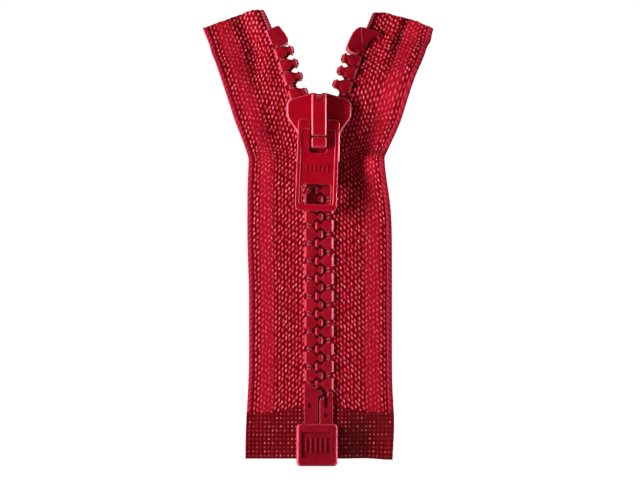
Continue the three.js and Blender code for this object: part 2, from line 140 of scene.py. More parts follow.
# Retainer box
BOX_LEFT, BOX_RIGHT, BOX_TOP, BOX_HALF = -5.2, 4.3, 9.8, 2.25
PANEL_LEFT, PANEL_RIGHT, PANEL_LOW, PANEL_HIGH = -4.1, 2.75, 1.85, 7.85


# ---------------------------------------------------------------- meshes

def new_object(name, mesh):
    made = bpy.data.objects.new(name, mesh)
    bpy.context.scene.collection.objects.link(made)
    return made


def mesh_of(name, vertices, faces):
    mesh = bpy.data.meshes.new(name)
    mesh.from_pydata([tuple(v) for v in vertices], [], faces)
    mesh.validate()
    bm = bmesh.new()
    bm.from_mesh(mesh)
    bmesh.ops.recalc_face_normals(bm, faces=bm.faces)
    bm.to_mesh(mesh)
    bm.free()
    return new_object(name, mesh)


def baked(obj):
    """Applies the modifiers of obj to its mesh."""
    graph = bpy.context.evaluated_depsgraph_get()
    graph.update()
    mesh = bpy.data.meshes.new_from_object(obj.evaluated_get(graph), depsgraph=graph)
    obj.modifiers.clear()
    spare = obj.data
    obj.data = mesh
    bpy.data.meshes.remove(spare)
    return obj


def swept(points, low, high, place):
    """A prism over an outline; place(a, b, h) gives the point at outline (a, b) and height h."""
    count = len(points)
    vertices = [place(a, b, low) for a, b in points] + [place(a, b, high) for a, b in points]
    faces = [tuple(range(count)), tuple(range(count, 2 * count))[::-1]]
    faces += [(i, (i + 1) % count, count + (i + 1) % count, count + i) for i in range(count)]
    return mesh_of("prism", vertices, faces)


def prism_xz(points, y0, y1):
    return swept(points, y0, y1, lambda a, b, h: (a, h, b))


def prism_yz(points, x0, x1):
    return swept(points, x0, x1, lambda a, b, h: (h, a, b))


def prism_xy(points, z0, z1):
    return swept(points, z0, z1, lambda a, b, h: (a, b, h))


def block(x0, x1, y0, y1, z0, z1):
    return prism_xz([(x0, z0), (x1, z0), (x1, z1), (x0, z1)], y0, y1)


def combined(base, other, operation):
    cut = base.modifiers.new("cut", "BOOLEAN")
    cut.operation = operation
    cut.solver = "EXACT"
    cut.object = other
    baked(base)
    bpy.data.objects.remove(other)
    return base


def minus(base, *others):
    for other in others:
        combined(base, other, "DIFFERENCE")
    return base


def plus(base, *others):
    for other in others:
        combined(base, other, "UNION")
    return base


def common(base, other):
    return combined(base, other, "INTERSECT")


def chamfered(obj, width, angle=30, soften=0.06):
    """A flat chamfer with slightly softened borders."""
    bevelled(obj, width, 1, angle)
    return bevelled(obj, soften, 2, 20)


def bevelled(obj, width, segments=3, angle=30):
    bevel = obj.modifiers.new("bevel", "BEVEL")
    bevel.width = width
    bevel.segments = segments
    bevel.limit_method = "ANGLE"
    bevel.angle_limit = math.radians(angle)
    bevel.use_clamp_overlap = True
    return baked(obj)


def cleaned(obj):
    """Merges doubled points and dissolves slivers left by the cuts."""
    bm = bmesh.new()
    bm.from_mesh(obj.data)
    bmesh.ops.remove_doubles(bm, verts=bm.verts, dist=0.004)
    bmesh.ops.dissolve_degenerate(bm, edges=bm.edges, dist=0.004)
    flat = [e for e in bm.edges if len(e.link_faces) == 2 and e.calc_face_angle(0) < 0.002]
    bmesh.ops.dissolve_edges(bm, edges=flat, use_verts=True, use_face_split=False)
    bmesh.ops.recalc_face_normals(bm, faces=bm.faces)
    bm.to_mesh(obj.data)
    bm.free()
    return obj


def smoothed(obj, sharp=40):
    """Smooth shading that keeps flat faces flat beside their rounded edges."""
    obj.data.polygons.foreach_set("use_smooth", [True] * len(obj.data.polygons))
    obj.data.set_sharp_from_angle(angle=math.radians(sharp))
    weighted = obj.modifiers.new("normals", "WEIGHTED_NORMAL")
    weighted.keep_sharp = True
    return baked(obj)


def mirrored(half):
    return half + [(-a, b) for a, b in reversed(half)]


def arc(cx, cy, rx, ry, start, stop, steps):
    angles = np.radians(np.linspace(start, stop, steps + 1))
    return [(cx + rx * math.cos(t), cy + ry * math.sin(t)) for t in angles]


def ring(cx, cy, rx, ry, sides=24):
    return arc(cx, cy, rx, ry, 0, 360, sides)[:-1]


def rounded(x0, x1, z0, z1, r, steps=6):
    return (arc(x1 - r, z0 + r, r, r, -90, 0, steps) + arc(x1 - r, z1 - r, r, r, 0, 90, steps)
            + arc(x0 + r, z1 - r, r, r, 90, 180, steps) + arc(x0 + r, z0 + r, r, r, 180, 270, steps))


# ---------------------------------------------------------------- chain path

def eased(table, s):
    """Smooth steps between the (length, value) rows of a table."""
    value = np.full_like(s, table[0][1], dtype=float)
    for (s0, v0), (s1, v1) in zip(table, table[1:]):
        x = np.clip((s - s0) / (s1 - s0), 0, 1)
        value += (v1 - v0) * x * x * (3 - 2 * x)
    return value


def ramp(low, high, value):
    x = np.clip((value - low) / (high - low), 0, 1)
    return x * x * (3 - 2 * x)


def bell(value, centre, width):
    return np.exp(-(((value - centre) / width) ** 2))


def edge_spread(side, s):
    """How far the outer edge stands wide of the straight line below the slider."""
    if side < 0:
        return 0.4 - 0.78 * ramp(4, 25, s) + 0.38 * ramp(38, 54, s)
    return 0.3 + 0.5 * bell(s, 9.5, 7)


def edge_sway(side, s):
    """The same from the slider up: drawn in by the fold beside it, let out again on the open leg."""
    if side < 0:
        return 0.45 * ramp(77, 85, s) - 0.3 * bell(s, 71.5, 5.5) - 0.35 * ramp(102, 106, s)
    return -1.75 * bell(s, 71.5, 9.5) - 0.4 * bell(s, 89.5, 4) - 0.6 * ramp(101, 106, s)


def top_edge(side, x):
    """Height of the tape's top edge: straight stretches up to the crest, then a curve down to the stop."""
    *slope, end = TOP_EDGE[side]
    crest = slope[-1]
    rows = sorted(slope)
    height = np.interp(x, [row[0] for row in rows], [row[1] for row in rows])
    past_crest = np.clip((crest[0] - x) / (crest[0] - end[0]), 0, 1)
    return height - (crest[1] - end[1]) * past_crest ** 2


def path_directions(s, side, lean_share=1.0):
    """Unit vectors along the cord, outward across the tape, and to the front of the tape."""
    opening = np.radians(eased(OPENING_ANGLE, s))
    lean = np.radians(eased(LEAN_ANGLE, s)) * lean_share * LEAN_SCALE[side]
    along = np.stack([side * np.sin(opening) * np.cos(lean), np.sin(lean),
                      np.cos(opening) * np.cos(lean)], axis=1)
    outward = np.stack([side * np.cos(opening), 0 * opening, -np.sin(opening)], axis=1)
    front = side * np.cross(outward, along)
    return along, outward, front


def chain_path(side):
    """Rows at PATH_STEP: length, cord position and directions, with the slider at rest."""
    s = np.arange(PATH_LOW, PATH_HIGH + PATH_STEP / 2, PATH_STEP)
    steps = path_directions(s[:-1] + PATH_STEP / 2, side)[0] * PATH_STEP
    start = np.array([[side * CORD_OFFSET, 0, PATH_LOW]])
    position = np.vstack([start, start + np.cumsum(steps, axis=0)])
    return s, position, *path_directions(s, side)


def sheet_fold(s, u, side):
    """How far the tape stands in front of the path's plane: the legs' folds and the waves by the slider."""
    leg = ramp(90, 102, s)
    bulge = (0.4 if side > 0 else 1.3) * bell(s, 80, 5) * ramp(4.8, 11, u)
    if side > 0:
        rise = 0.60 * np.maximum(u - 1.2, 0) * ramp(82, 93, s)
        waves = 1.1 * bell(u, 6.0, 1.4) - 0.25 * bell(u, 8.3, 1.0)
        near = bell(s, 69.5, 5)
        valley = 10.5 - 3.2 * near
        dip = bell(u, valley, 2.9)
        dip = np.where(u > valley, dip + 0.65 * (1 - near) * (1 - dip), dip)
        bulge = bulge + 2.4 * bell(s, 70, 6) * ramp(valley + 0.9, 14.6, u)
        bulge = bulge - (2.9 - 0.9 * near) * bell(s, 71, 10) * dip
        return (rise + leg * waves + bulge) * (u > 1.2)
    middle = 7.2 - 2.0 * ramp(90, 102, s)
    waves = 0.45 * bell(u, middle - 3.4, 1.2) - 0.95 * bell(u, middle, 1.55)
    waves = waves + 0.15 * bell(u, middle + 3.8, 2.0)
    bulge = bulge + 0.35 * bell(s, 70, 8) * bell(u, 9.0, 2.4)
    outer = 0.18 * np.maximum(u - 8.5, 0) * ramp(91, 98, s)
    return (ramp(84, 101, s) * waves + outer + bulge) * (u > 1.2)


def hem_sag(s, u, side):
    """The right tape's cut end falls back beside the box."""
    return -3.3 * ramp(2.6, 9.8, u) * (1 - ramp(6, 15.3, s)) * (side > 0)


def film_top(u, side):
    """Upper edge of the film: it climbs towards the chain."""
    climb = 2.0 if side < 0 else 1.6
    return FILM_TOP + 0.1 + climb * (1 - ramp(-1, 9.5, u))


def sheet_points(path, side):
    """Grid of the tape's middle surface, rows along the cord and columns outward, with its normals."""
    s, position, along, outward, front = path
    u = SHEET_LOW + SHEET_STEP * np.arange(SHEET_COLUMNS)
    length, reach = np.meshgrid(s, u, indexing="ij")
    fan = 2.0 * ramp(86, 106, length) * np.maximum(reach, 0) / TAPE_REACH
    sway = edge_sway(side, length) * ramp(3, 13.5, reach)
    fold = sheet_fold(length, reach, side)
    points = (position[:, None] + outward[:, None] * (reach + sway)[..., None]
              + front[:, None] * fold[..., None] + along[:, None] * fan[..., None])
    normals = side * np.cross(np.gradient(points, axis=1), np.gradient(points, axis=0))
    normals /= np.linalg.norm(normals, axis=2, keepdims=True)
    return points, normals


def tape_ends(side, u):
    """Length at which the tape is cut off, for each reach u, so that its top edge follows TOP_EDGE."""
    points = sheets[side][0]
    ends = []
    for j in range(SHEET_COLUMNS):
        x, z = points[:, j, 0], points[:, j, 2]
        above = z > top_edge(side, x)
        above &= np.arange(len(z)) * PATH_STEP + PATH_LOW > 96
        ends.append(PATH_LOW + PATH_STEP * np.argmax(above))
    reach = SHEET_LOW + SHEET_STEP * np.arange(SHEET_COLUMNS)
    return np.interp(u, reach, ends)


def grid_faces(rows, columns):
    corner = (np.arange(rows - 1)[:, None] * columns + np.arange(columns - 1)).ravel()
    return np.stack([corner, corner + 1, corner + columns + 1, corner + columns], axis=1).tolist()


def put_attribute(mesh, name, values, kind="FLOAT"):
    layer = mesh.attributes.new(name, kind, "POINT")
    values = np.asarray(values, np.float32)
    layer.data.foreach_set("value" if kind == "FLOAT" else "vector", values.ravel())


def guide_object(name, points, vectors):
    """A hidden mesh that the bending modifiers sample; it isn't part of the object."""
    flat = points.reshape(-1, 3) * MM
    rows = points.shape[0]
    faces = grid_faces(rows, points.shape[1]) if points.ndim == 3 else []
    mesh = bpy.data.meshes.new(name)
    mesh.from_pydata(flat.tolist(), [], faces)
    for key, value in vectors.items():
        put_attribute(mesh, key, value, "FLOAT_VECTOR")
    guide = new_object(name, mesh)
    guide.hide_render = True
    guide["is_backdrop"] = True
    return guide


# ---------------------------------------------------------------- node helpers

class Nodes:
    """Short calls for building a node tree: each returns the new node's first output."""

    def __init__(self, tree):
        self.tree = tree

    def add(self, kind, inputs=None, **settings):
        node = self.tree.nodes.new(kind)
        for key, value in settings.items():
            setattr(node, key, value)
        for key, value in (inputs or {}).items():
            self.feed(node.inputs[key], value)
        return node

    def feed(self, socket, value):
        if isinstance(value, bpy.types.NodeSocket):
            self.tree.links.new(value, socket)
        else:
            socket.default_value = value

    def math(self, operation, a, b=0.0, c=0.0, geometry=False, clamp=False):
        node = self.add("ShaderNodeMath", {0: a, 1: b, 2: c}, operation=operation, use_clamp=clamp)
        return node.outputs[0]

    def vector(self, operation, a, b=(0.0, 0.0, 0.0)):
        return self.add("ShaderNodeVectorMath", {0: a, 1: b}, operation=operation).outputs[0]

    def scaled(self, vector, factor):
        node = self.add("ShaderNodeVectorMath", {0: vector}, operation="SCALE")
        self.feed(node.inputs["Scale"], factor)
        return node.outputs[0]

    def lerp(self, a, b, factor):
        node = self.add("ShaderNodeMix", data_type="VECTOR", clamp_factor=False)
        self.feed(node.inputs[0], factor)
        self.feed(node.inputs[4], a)
        self.feed(node.inputs[5], b)
        return node.outputs[1]

    def mix_color(self, a, b, factor, blend="MIX"):
        node = self.add("ShaderNodeMix", data_type="RGBA", blend_type=blend, clamp_factor=True)
        self.feed(node.inputs[0], factor)
        self.feed(node.inputs[6], a)
        self.feed(node.inputs[7], b)
        return node.outputs[2]

    def smoothstep(self, value, low, high, out_low=0.0, out_high=1.0):
        node = self.add("ShaderNodeMapRange", {0: value, 1: low, 2: high, 3: out_low, 4: out_high},
                        interpolation_type="SMOOTHSTEP")
        return node.outputs[0]

    def combine(self, x, y, z):
        return self.add("ShaderNodeCombineXYZ", {0: x, 1: y, 2: z}).outputs[0]


# ---------------------------------------------------------------- bending with the slider

def bend_tree(name):
    tree = bpy.data.node_groups.new(name, "GeometryNodeTree")
    tree.interface.new_socket("Geometry", in_out="INPUT", socket_type="NodeSocketGeometry")
    tree.interface.new_socket("Geometry", in_out="OUTPUT", socket_type="NodeSocketGeometry")
    nodes = Nodes(tree)
    source = nodes.add("NodeGroupInput").outputs[0]
    place = nodes.add("GeometryNodeSetPosition", {"Geometry": source})
    nodes.add("NodeGroupOutput", {0: place.outputs[0]})
    return nodes, place


def named_value(nodes, name, kind="FLOAT"):
    return nodes.add("GeometryNodeInputNamedAttribute", {"Name": name}, data_type=kind).outputs[0]


def sampler(nodes, guide):
    """sample(field, index) reads a vector field of the guide at a point index."""
    shape = nodes.add("GeometryNodeObjectInfo", {"Object": guide}).outputs["Geometry"]

    def sample(field, index):
        node = nodes.add("GeometryNodeSampleIndex", {"Geometry": shape}, data_type="FLOAT_VECTOR",
                         domain="POINT", clamp=True)
        nodes.feed(node.inputs["Value"], field)
        nodes.feed(node.inputs["Index"], index)
        return node.outputs[0]
    return sample


def slider_shift(nodes):
    """How far the slider has moved along the chain: as a vector, and in millimetres."""
    info = nodes.add("GeometryNodeObjectInfo", {"Object": frame["bodies"]["slider"]},
                     transform_space="ORIGINAL")
    height = nodes.add("ShaderNodeSeparateXYZ", {0: info.outputs["Location"]}).outputs[2]
    return nodes.combine(0.0, 0.0, height), nodes.math("DIVIDE", height, MM)


def split_index(nodes, value, low, step, last):
    """Whole index and remainder of a value on a regular scale."""
    place = nodes.math("DIVIDE", nodes.math("SUBTRACT", value, low), step)
    place = nodes.math("MINIMUM", nodes.math("MAXIMUM", place, 0.0), last - 0.001)
    whole = nodes.math("FLOOR", place)
    return whole, nodes.math("SUBTRACT", place, whole)


def free_share(nodes, length, limit=FREE_FROM):
    """0 where the box holds the chain straight, 1 where the slider shapes it."""
    return nodes.smoothstep(length, CLAMPED_UNTIL, limit)


def sheet_bend(name, side, guide, rows):
    """Bends a tape: each point keeps its length s, reach u and height v on the moving sheet."""
    nodes, place = bend_tree(name)
    sample = sampler(nodes, guide)
    shift, shift_mm = slider_shift(nodes)
    s, u, v = (named_value(nodes, key) for key in "suv")
    row, row_part = split_index(nodes, nodes.math("SUBTRACT", s, shift_mm), PATH_LOW, PATH_STEP, rows - 1)
    column, column_part = split_index(nodes, u, SHEET_LOW, SHEET_STEP, SHEET_COLUMNS - 1)
    first = nodes.math("MULTIPLY_ADD", row, float(SHEET_COLUMNS), column)
    corners = [first, nodes.math("ADD", first, 1.0), nodes.math("ADD", first, float(SHEET_COLUMNS)),
               nodes.math("ADD", first, SHEET_COLUMNS + 1.0)]

    def blended(field):
        a, b, c, d = (sample(field, corner) for corner in corners)
        return nodes.lerp(nodes.lerp(a, b, column_part), nodes.lerp(c, d, column_part), row_part)
    surface = blended(nodes.add("GeometryNodeInputPosition").outputs[0])
    front = blended(named_value(nodes, "front", "FLOAT_VECTOR"))
    raised = nodes.scaled(front, nodes.math("MULTIPLY", v, MM))
    bent = nodes.vector("ADD", nodes.vector("ADD", surface, raised), shift)
    straight = nodes.combine(
        nodes.math("MULTIPLY", nodes.math("ADD", u, CORD_OFFSET), side * MM),
        nodes.math("MULTIPLY", v, -MM), nodes.math("MULTIPLY", s, MM))
    limit = nodes.smoothstep(u, 5.0, 14.0, FREE_FROM, FREE_FROM + EDGE_LAG)
    nodes.feed(place.inputs["Position"], nodes.lerp(straight, bent, free_share(nodes, s, limit)))
    return nodes.tree


def clamp_bend(name, side, guide, rows):
    """Carries a tooth or stop along the cord as one rigid piece."""
    nodes, place = bend_tree(name)
    sample = sampler(nodes, guide)
    shift, shift_mm = slider_shift(nodes)
    length = named_value(nodes, "length")
    local = nodes.add("ShaderNodeSeparateXYZ", {0: named_value(nodes, "local", "FLOAT_VECTOR")})
    row, part = split_index(nodes, nodes.math("SUBTRACT", length, shift_mm), PATH_LOW, PATH_STEP, rows - 1)
    following = nodes.math("ADD", row, 1.0)

    def blended(field):
        return nodes.lerp(sample(field, row), sample(field, following), part)
    total = nodes.vector("ADD", blended(nodes.add("GeometryNodeInputPosition").outputs[0]), shift)
    for key, axis, sign in (("outward", 0, -1), ("front", 1, -1), ("along", 2, -side)):
        direction = blended(named_value(nodes, key, "FLOAT_VECTOR"))
        distance = nodes.math("MULTIPLY", local.outputs[axis], sign * MM)
        total = nodes.vector("ADD", total, nodes.scaled(direction, distance))
    straight = nodes.combine(
        nodes.math("MULTIPLY_ADD", local.outputs[0], -side * MM, side * CORD_OFFSET * MM),
        nodes.math("MULTIPLY", local.outputs[1], MM),
        nodes.math("MULTIPLY_ADD", local.outputs[2], -side * MM, nodes.math("MULTIPLY", length, MM)))
    nodes.feed(place.inputs["Position"], nodes.lerp(straight, total, free_share(nodes, length)))
    return nodes.tree


def add_bend(obj, tree):
    bend = obj.modifiers.new("bend", "NODES")
    bend.node_group = tree


# ---------------------------------------------------------------- tape

def cell_noise(i, j, seed):
    """A repeatable value from 0 to 1 for each whole pair (i, j)."""
    value = np.sin(i * 127.1 + j * 311.7 + seed * 74.7) * 43758.5453
    return value - np.floor(value)


def smooth_zone(u):
    """1 in the band near the selvedge where the loops lie close together."""
    return ramp(7.7, 8.5, u) * (1 - ramp(11.1, 11.8, u))


def loops(s, u, seed):
    """Height and tone of the knitted loops, each column stepping along from the last."""
    base_i = np.floor(u / WALE)
    height = np.zeros_like(s)
    tone = np.full_like(s, 0.5)
    for di in (-1, 0, 1):
        i = base_i + di
        phase = LOOP_STEP * i
        base_j = np.floor(s / COURSE - phase)
        middle = (i + 0.5) * WALE
        alternate = np.where(np.mod(i, 2) > 0.5, 1.0, -1.0)
        lean = LOOP_TILT * (smooth_zone(middle) * alternate + 0.6 * (1 - smooth_zone(middle)))
        for dj in (-1, 0, 1):
            j = base_j + dj
            tilt = lean + 1.0 * (cell_noise(i, j, seed) - 0.5)
            across = u - middle - 0.30 * (cell_noise(i, j, seed + 1) - 0.5)
            along = s - (j + 0.5 + phase) * COURSE - 0.75 * (cell_noise(i, j, seed + 2) - 0.5)
            a = across * np.cos(tilt) + along * np.sin(tilt)
            b = along * np.cos(tilt) - across * np.sin(tilt)
            dome = np.sqrt(np.clip(1 - (a / LOOP_HALF[0]) ** 2 - (b / LOOP_HALF[1]) ** 2, 0, 1))
            dome = dome * (0.36 + 0.64 * cell_noise(i, j, seed + 5))
            higher = dome > height
            height = np.where(higher, dome, height)
            tone = np.where(higher, cell_noise(i, j, seed + 3), tone)
    return height, tone


def tape_section():
    """(u, v, surface) round the tape: 1 on the web's front, -1 on its back, 0 on cord and selvedge."""
    centre, half = (SELVEDGE_START + TAPE_REACH) / 2, (TAPE_REACH - SELVEDGE_START) / 2

    def half_section(columns):
        cord = [(CORD_RADIUS * math.cos(t), CORD_RADIUS * math.sin(t), 0)
                for t in np.radians(np.linspace(180, 32, 9))]
        web = [(u, WEB_HALF_THICKNESS, 1) for u in np.linspace(0.62, SELVEDGE_START, columns)]
        selvedge = [(centre + half * math.cos(t), SELVEDGE_HALF_THICKNESS * math.sin(t), 0)
                    for t in np.radians(np.linspace(157, 0, 8))]
        return cord + web + selvedge
    back = [(u, -v, -surface) for u, v, surface in reversed(half_section(52)[1:-1])]
    return np.array(half_section(104) + back)


def cord_bulge(s, side):
    """1 where the bead cord swells between two teeth."""
    first = FIRST_TOOTH["left" if side < 0 else "right"]
    place = np.abs(np.mod(s - first, PITCH) - PITCH / 2)
    last = first + PITCH * (TEETH_PER_SIDE - 1)
    return (1 - ramp(0.6, 0.8, place)) * (s > first) * (s < last)


def tape_mesh(name, side, seed):
    section = tape_section()
    rows = np.linspace(0, 1, 500)
    share, u = np.meshgrid(rows, section[:, 0], indexing="ij")
    v = np.broadcast_to(section[:, 1], share.shape).copy()
    face = np.broadcast_to(section[:, 2], share.shape)
    ends = tape_ends(side, u)
    s = TAPE_START + share * (TAPE_END - TAPE_START) + (ends - TAPE_END) * ramp(0.86, 1.0, share)
    height, tone = loops(s, u, seed + np.where(face < 0, 40, 0))
    relief = LOOP_HEIGHT * height * (0.55 + 0.45 * ramp(FILM_TOP, FILM_TOP + 1.5, s))
    relief = relief * (1 - 0.35 * smooth_zone(u))
    groove_at = SELVEDGE_START - 0.12
    v += face * (relief - 0.11 * bell(u, groove_at, 0.2) + 0.17 * (1 - ramp(0.6, 2.2, u)))
    rim = face == 0
    cord_rib = 0.5 + 0.5 * np.sin(2 * math.pi * (s / (COURSE * 0.62) + np.arctan2(v, u) / math.pi))
    edge_rib = 0.5 + 0.5 * np.sin(2 * math.pi * (s / COURSE + 0.3 * u))
    rib = np.where(u < 2, cord_rib, 0.3 + 0.7 * edge_rib)
    v = np.where(rim, v * (0.90 + 0.16 * rib), v)
    edge = np.where(rim & (u > 2), 1.0, 0.0)
    hidden = np.where(rim & (u < 2), 0.35 + 0.4 * rib, 0.0)
    swell = cord_bulge(s, side) * rim
    weave_u = u
    shade = 1 - 0.3 * bell(u, 7.6, 0.3) - 0.55 * bell(u, groove_at, 0.2)
    shade = shade * (1 - 0.9 * swell * ramp(0.1, 0.45, -u))
    u = np.where(u < 0, u * (1 + 1.38 * swell), u)
    v = np.where(u < 0, v * (1 - 0.25 * swell), v)
    u = u + edge_spread(side, s) * ramp(3, 13.5, u)
    columns = len(section)
    corner = (np.arange(len(rows) - 1)[:, None] * columns + np.arange(columns)).ravel()
    beside = (np.arange(len(rows) - 1)[:, None] * columns + (np.arange(columns) + 1) % columns).ravel()
    faces = np.stack([corner, beside, beside + columns, corner + columns], axis=1).tolist()
    faces += [list(range(columns)), list(range(s.size - columns, s.size))]
    v = v + hem_sag(s, u, side)
    s = s - 0.35 * ramp(8, 14, u) * (side > 0) * (1 - ramp(TAPE_START, 7, s))
    coordinates = bent_rest(side, s.ravel(), u.ravel(), v.ravel())
    obj = mesh_of(name, coordinates * MM, faces)
    obj.data.polygons.foreach_set("use_smooth", [True] * len(obj.data.polygons))
    for key, value in (("s", s), ("u", u), ("v", v), ("weave_u", weave_u), ("height", height), ("cord",
                       hidden),
                       ("selvedge", edge), ("shade", shade), ("close", smooth_zone(weave_u))):
        put_attribute(obj.data, key, value)
    return obj


def bent_rest(side, s, u, v):
    """The same blend of straight and bent shape as the bending modifier gives at rest."""
    straight = np.stack([side * (CORD_OFFSET + u), -v, s], axis=1)
    share = ramp(CLAMPED_UNTIL, FREE_FROM + EDGE_LAG * ramp(5.0, 14.0, u), s)[:, None]
    return straight * (1 - share) + sheet_rest(side, s, u, v) * share


def sheet_rest(side, s, u, v):
    """Points of the bent tape with the slider at rest, read from the same guide grid."""
    points, normals = sheets[side]
    row = np.clip((s - PATH_LOW) / PATH_STEP, 0, points.shape[0] - 1.001)
    column = np.clip((u - SHEET_LOW) / SHEET_STEP, 0, SHEET_COLUMNS - 1.001)
    i, j = row.astype(int), column.astype(int)
    fi, fj = (row - i)[:, None], (column - j)[:, None]

    def blended(grid):
        return ((grid[i, j] * (1 - fj) + grid[i, j + 1] * fj) * (1 - fi)
                + (grid[i + 1, j] * (1 - fj) + grid[i + 1, j + 1] * fj) * fi)
    return blended(points) + blended(normals) * v[:, None]


def film_mesh(name, side, face):
    """Laminated film: a thin strip pressed over the loops, which show as rows of small dots."""
    rows = np.linspace(0, 1, 90)
    reach = np.linspace(1.2, TAPE_REACH + 0.02, 120)
    share, u = np.meshgrid(rows, reach, indexing="ij")
    s = TAPE_START + share * (film_top(u, side) - TAPE_START)
    weave_u = u
    dots = (0.5 + 0.5 * np.cos(2 * math.pi * (u / FILM_CELL[0] - 0.5))) ** 2
    dots = dots * (0.5 + 0.5 * np.cos(2 * math.pi * (s / FILM_CELL[1] - 0.5))) ** 2
    edge = 0.10 * ramp(SELVEDGE_START - 0.3, SELVEDGE_START + 0.1, u)
    wave = 0.03 * np.sin(s * 0.9 + u * 0.5) * np.sin(u * 0.8) * ramp(2.6, 4, u)
    sag = hem_sag(s, u, side)
    outer = 0.39 + edge + (0.05 + 0.04 * ramp(2.6, 3.5, u)) * dots + wave
    inner = 0.31 + edge
    u = u + edge_spread(side, s) * ramp(3, 13.5, u)
    ragged = 0.09 * np.sin(u * 2.1) + 0.06 * np.sin(u * 7.7)
    droop = 0.35 * ramp(8, 14, u) * (side > 0)
    s_edge = s + ragged * ramp(0.85, 1, share) - droop * (1 - ramp(TAPE_START, 7, s))
    points = []
    for layer in (outer, inner):
        x = side * (CORD_OFFSET + u)
        points.append(np.stack([x, -face * layer - sag, s_edge], axis=2).reshape(-1, 3))
    columns, count = len(reach), s.size
    faces = grid_faces(len(rows), columns)
    faces += [[count + k for k in reversed(f)] for f in faces]
    border = ([(0, j, 0, j + 1) for j in range(columns - 1)]
              + [(len(rows) - 1, j, len(rows) - 1, j + 1) for j in range(columns - 1)]
              + [(i, 0, i + 1, 0) for i in range(len(rows) - 1)]
              + [(i, columns - 1, i + 1, columns - 1) for i in range(len(rows) - 1)])
    for i0, j0, i1, j1 in border:
        a, b = i0 * columns + j0, i1 * columns + j1
        faces.append([a, b, count + b, count + a])
    obj = mesh_of(name, np.vstack(points) * MM, faces)
    obj.data.polygons.foreach_set("use_smooth", [True] * len(obj.data.polygons))
    for key, value in (("s", s), ("weave_u", weave_u)):
        put_attribute(obj.data, key, np.concatenate([value.ravel(), value.ravel()]))
    return obj


# ---------------------------------------------------------------- chain pieces

def cord_keyhole(outer, low, high, radius=0.66, slot=0.42):
    """Hole for the bead cord and the slot for the tape web, in local tooth axes."""
    hole = prism_xy(ring(0, 0, radius, radius, 20), low, high)
    return plus(hole, block(outer - 1, -0.3, -slot, slot, low, high))


def thickness_profile(points):
    return [(a, y) for a, y in points] + [(a, -y) for a, y in reversed(points)]


def web_depth(side):
    """Left and right pieces carry their inner webs in different layers, so that they pass each other."""
    return (-0.42, -0.01) if side < 0 else (0.01, 0.42)


def tooth_local(side):
    """One tooth in local axes: a inward from the cord, b backward, c along the chain."""
    upper = arc(-0.85, 1.08, 0.22, 0.22, 180, 90, 3) + arc(0.78, 1.0, 0.3, 0.3, 90, 38, 3)
    upper += [(1.62, 0.5), (2.02, 0.43), (2.26, 0.52)] + arc(2.72, 0, 0.57, 0.93, 118, 15, 7)
    body = prism_xz(upper + [(a, -c) for a, c in reversed(upper)], -1.32, 1.32)
    profile = thickness_profile([(-1.07, 0.84), (-0.62, 1.3), (1.0, 1.3), (1.6, 1.1), (2.1, 1.08), (2.5,
                                1.16),
                                 (2.85, 1.14), (3.1, 0.95), (3.3, 0.45)])
    common(body, prism_xy(profile, -2, 2))
    bevelled(cleaned(body), 0.15, 3, 28)
    web = [(0.3, 1.2), (0.5, 1.58), (1.15, 1.66), (1.33, 1.54), (1.5, 1.42), (1.85, 1.14), (2.2, 1.03),
           (2.6, 1.03), (3.0, 0.93),
           (3.3, 0.76), (3.48, 0.5)]
    plus(body, prism_xz(web + [(a, -c) for a, c in reversed(web)], *web_depth(side)))
    minus(body, cord_keyhole(-1.07, -2, 2))
    return smoothed(cleaned(body))


def upturned(points):
    """Turns an outline over in c, which runs down the chain on the right side."""
    return [(a, -c) for a, c in reversed(points)]


def stop_local(side):
    """Top stop in the same local axes; the right one has a perforated plate on the tape."""
    if side < 0:
        outline = [(-1.07, -2.65), (1.6, -2.7), (2.6, -2.5), (2.98, -2.2), (3.05, -1.75), (2.8, 0.0),
                   (2.4, 1.6),
                   (2.15, 2.0), (1.8, 2.15), (-1.07, 2.15)]
        outer = -1.07
    else:
        outline = upturned([(-1.2, -3.1), (1.06, -3.35), (1.8, -3.4), (2.6, -3.05), (3.0, -2.6), (3.15, -2.0),
                            (3.15, -1.2), (2.98, 1.2), (2.5, 2.3), (2.1, 2.85), (1.7, 3.15), (0.3, 3.4),
                            (-1.2, 3.45)])
        outer = -4.4
    front = -PIN_HALF_THICKNESS if side < 0 else -1.6
    body = bevelled(prism_xz(outline, front, PIN_HALF_THICKNESS), 0.28, 3)
    if side > 0:
        arch = [(0.2, 3.3), (-2.5, 3.5), (-3.9, 3.35), (-4.25, 3.0), (-4.32, 2.3), (-4.1, 0.95), (-3.75, 0.7),
                (-3.4, 0.8)]
        arch += arc(-2.5, 1.2, 0.88, 1.15, 190, 0, 12) + [(-1.25, 0.3), (-0.9, -0.4), (0.2, -0.5)]
        body = plus(body, bevelled(prism_xz(upturned(arch), front - 0.025, 0.9), 0.16, 2, 40))
        floor = prism_xz(upturned(ring(-2.45, 0.95, 0.98, 1.4)), -0.95, 0.6)
        body = plus(body, floor)
        seam = prism_xz(upturned([(-0.3, -1.28), (1.56, 2.95), (1.34, 2.95), (-0.52, -1.28)]), -1.7, -1.4)
        plus(body, bevelled(seam, 0.06, 2, 40))
    minus(body, cord_keyhole(outer, -4, 4, 0.74, 0.48))
    return smoothed(bevelled(cleaned(body), 0.06, 2, 50))


def clamp_rest(side, length, local):
    """Rest position of a clamped piece: the same frame that its bending modifier uses."""
    s, position = paths[side][:2]
    along, outward, front = path_directions(s, side, TOOTH_LEAN_SHARE)
    place = (length - PATH_LOW) / PATH_STEP
    i = int(place)
    part = place - i
    origin, d, w, n = (rows[i] * (1 - part) + rows[i + 1] * part
                       for rows in (position, along, outward, front))
    return origin - local[:, :1] * w - local[:, 1:2] * n - side * local[:, 2:3] * d


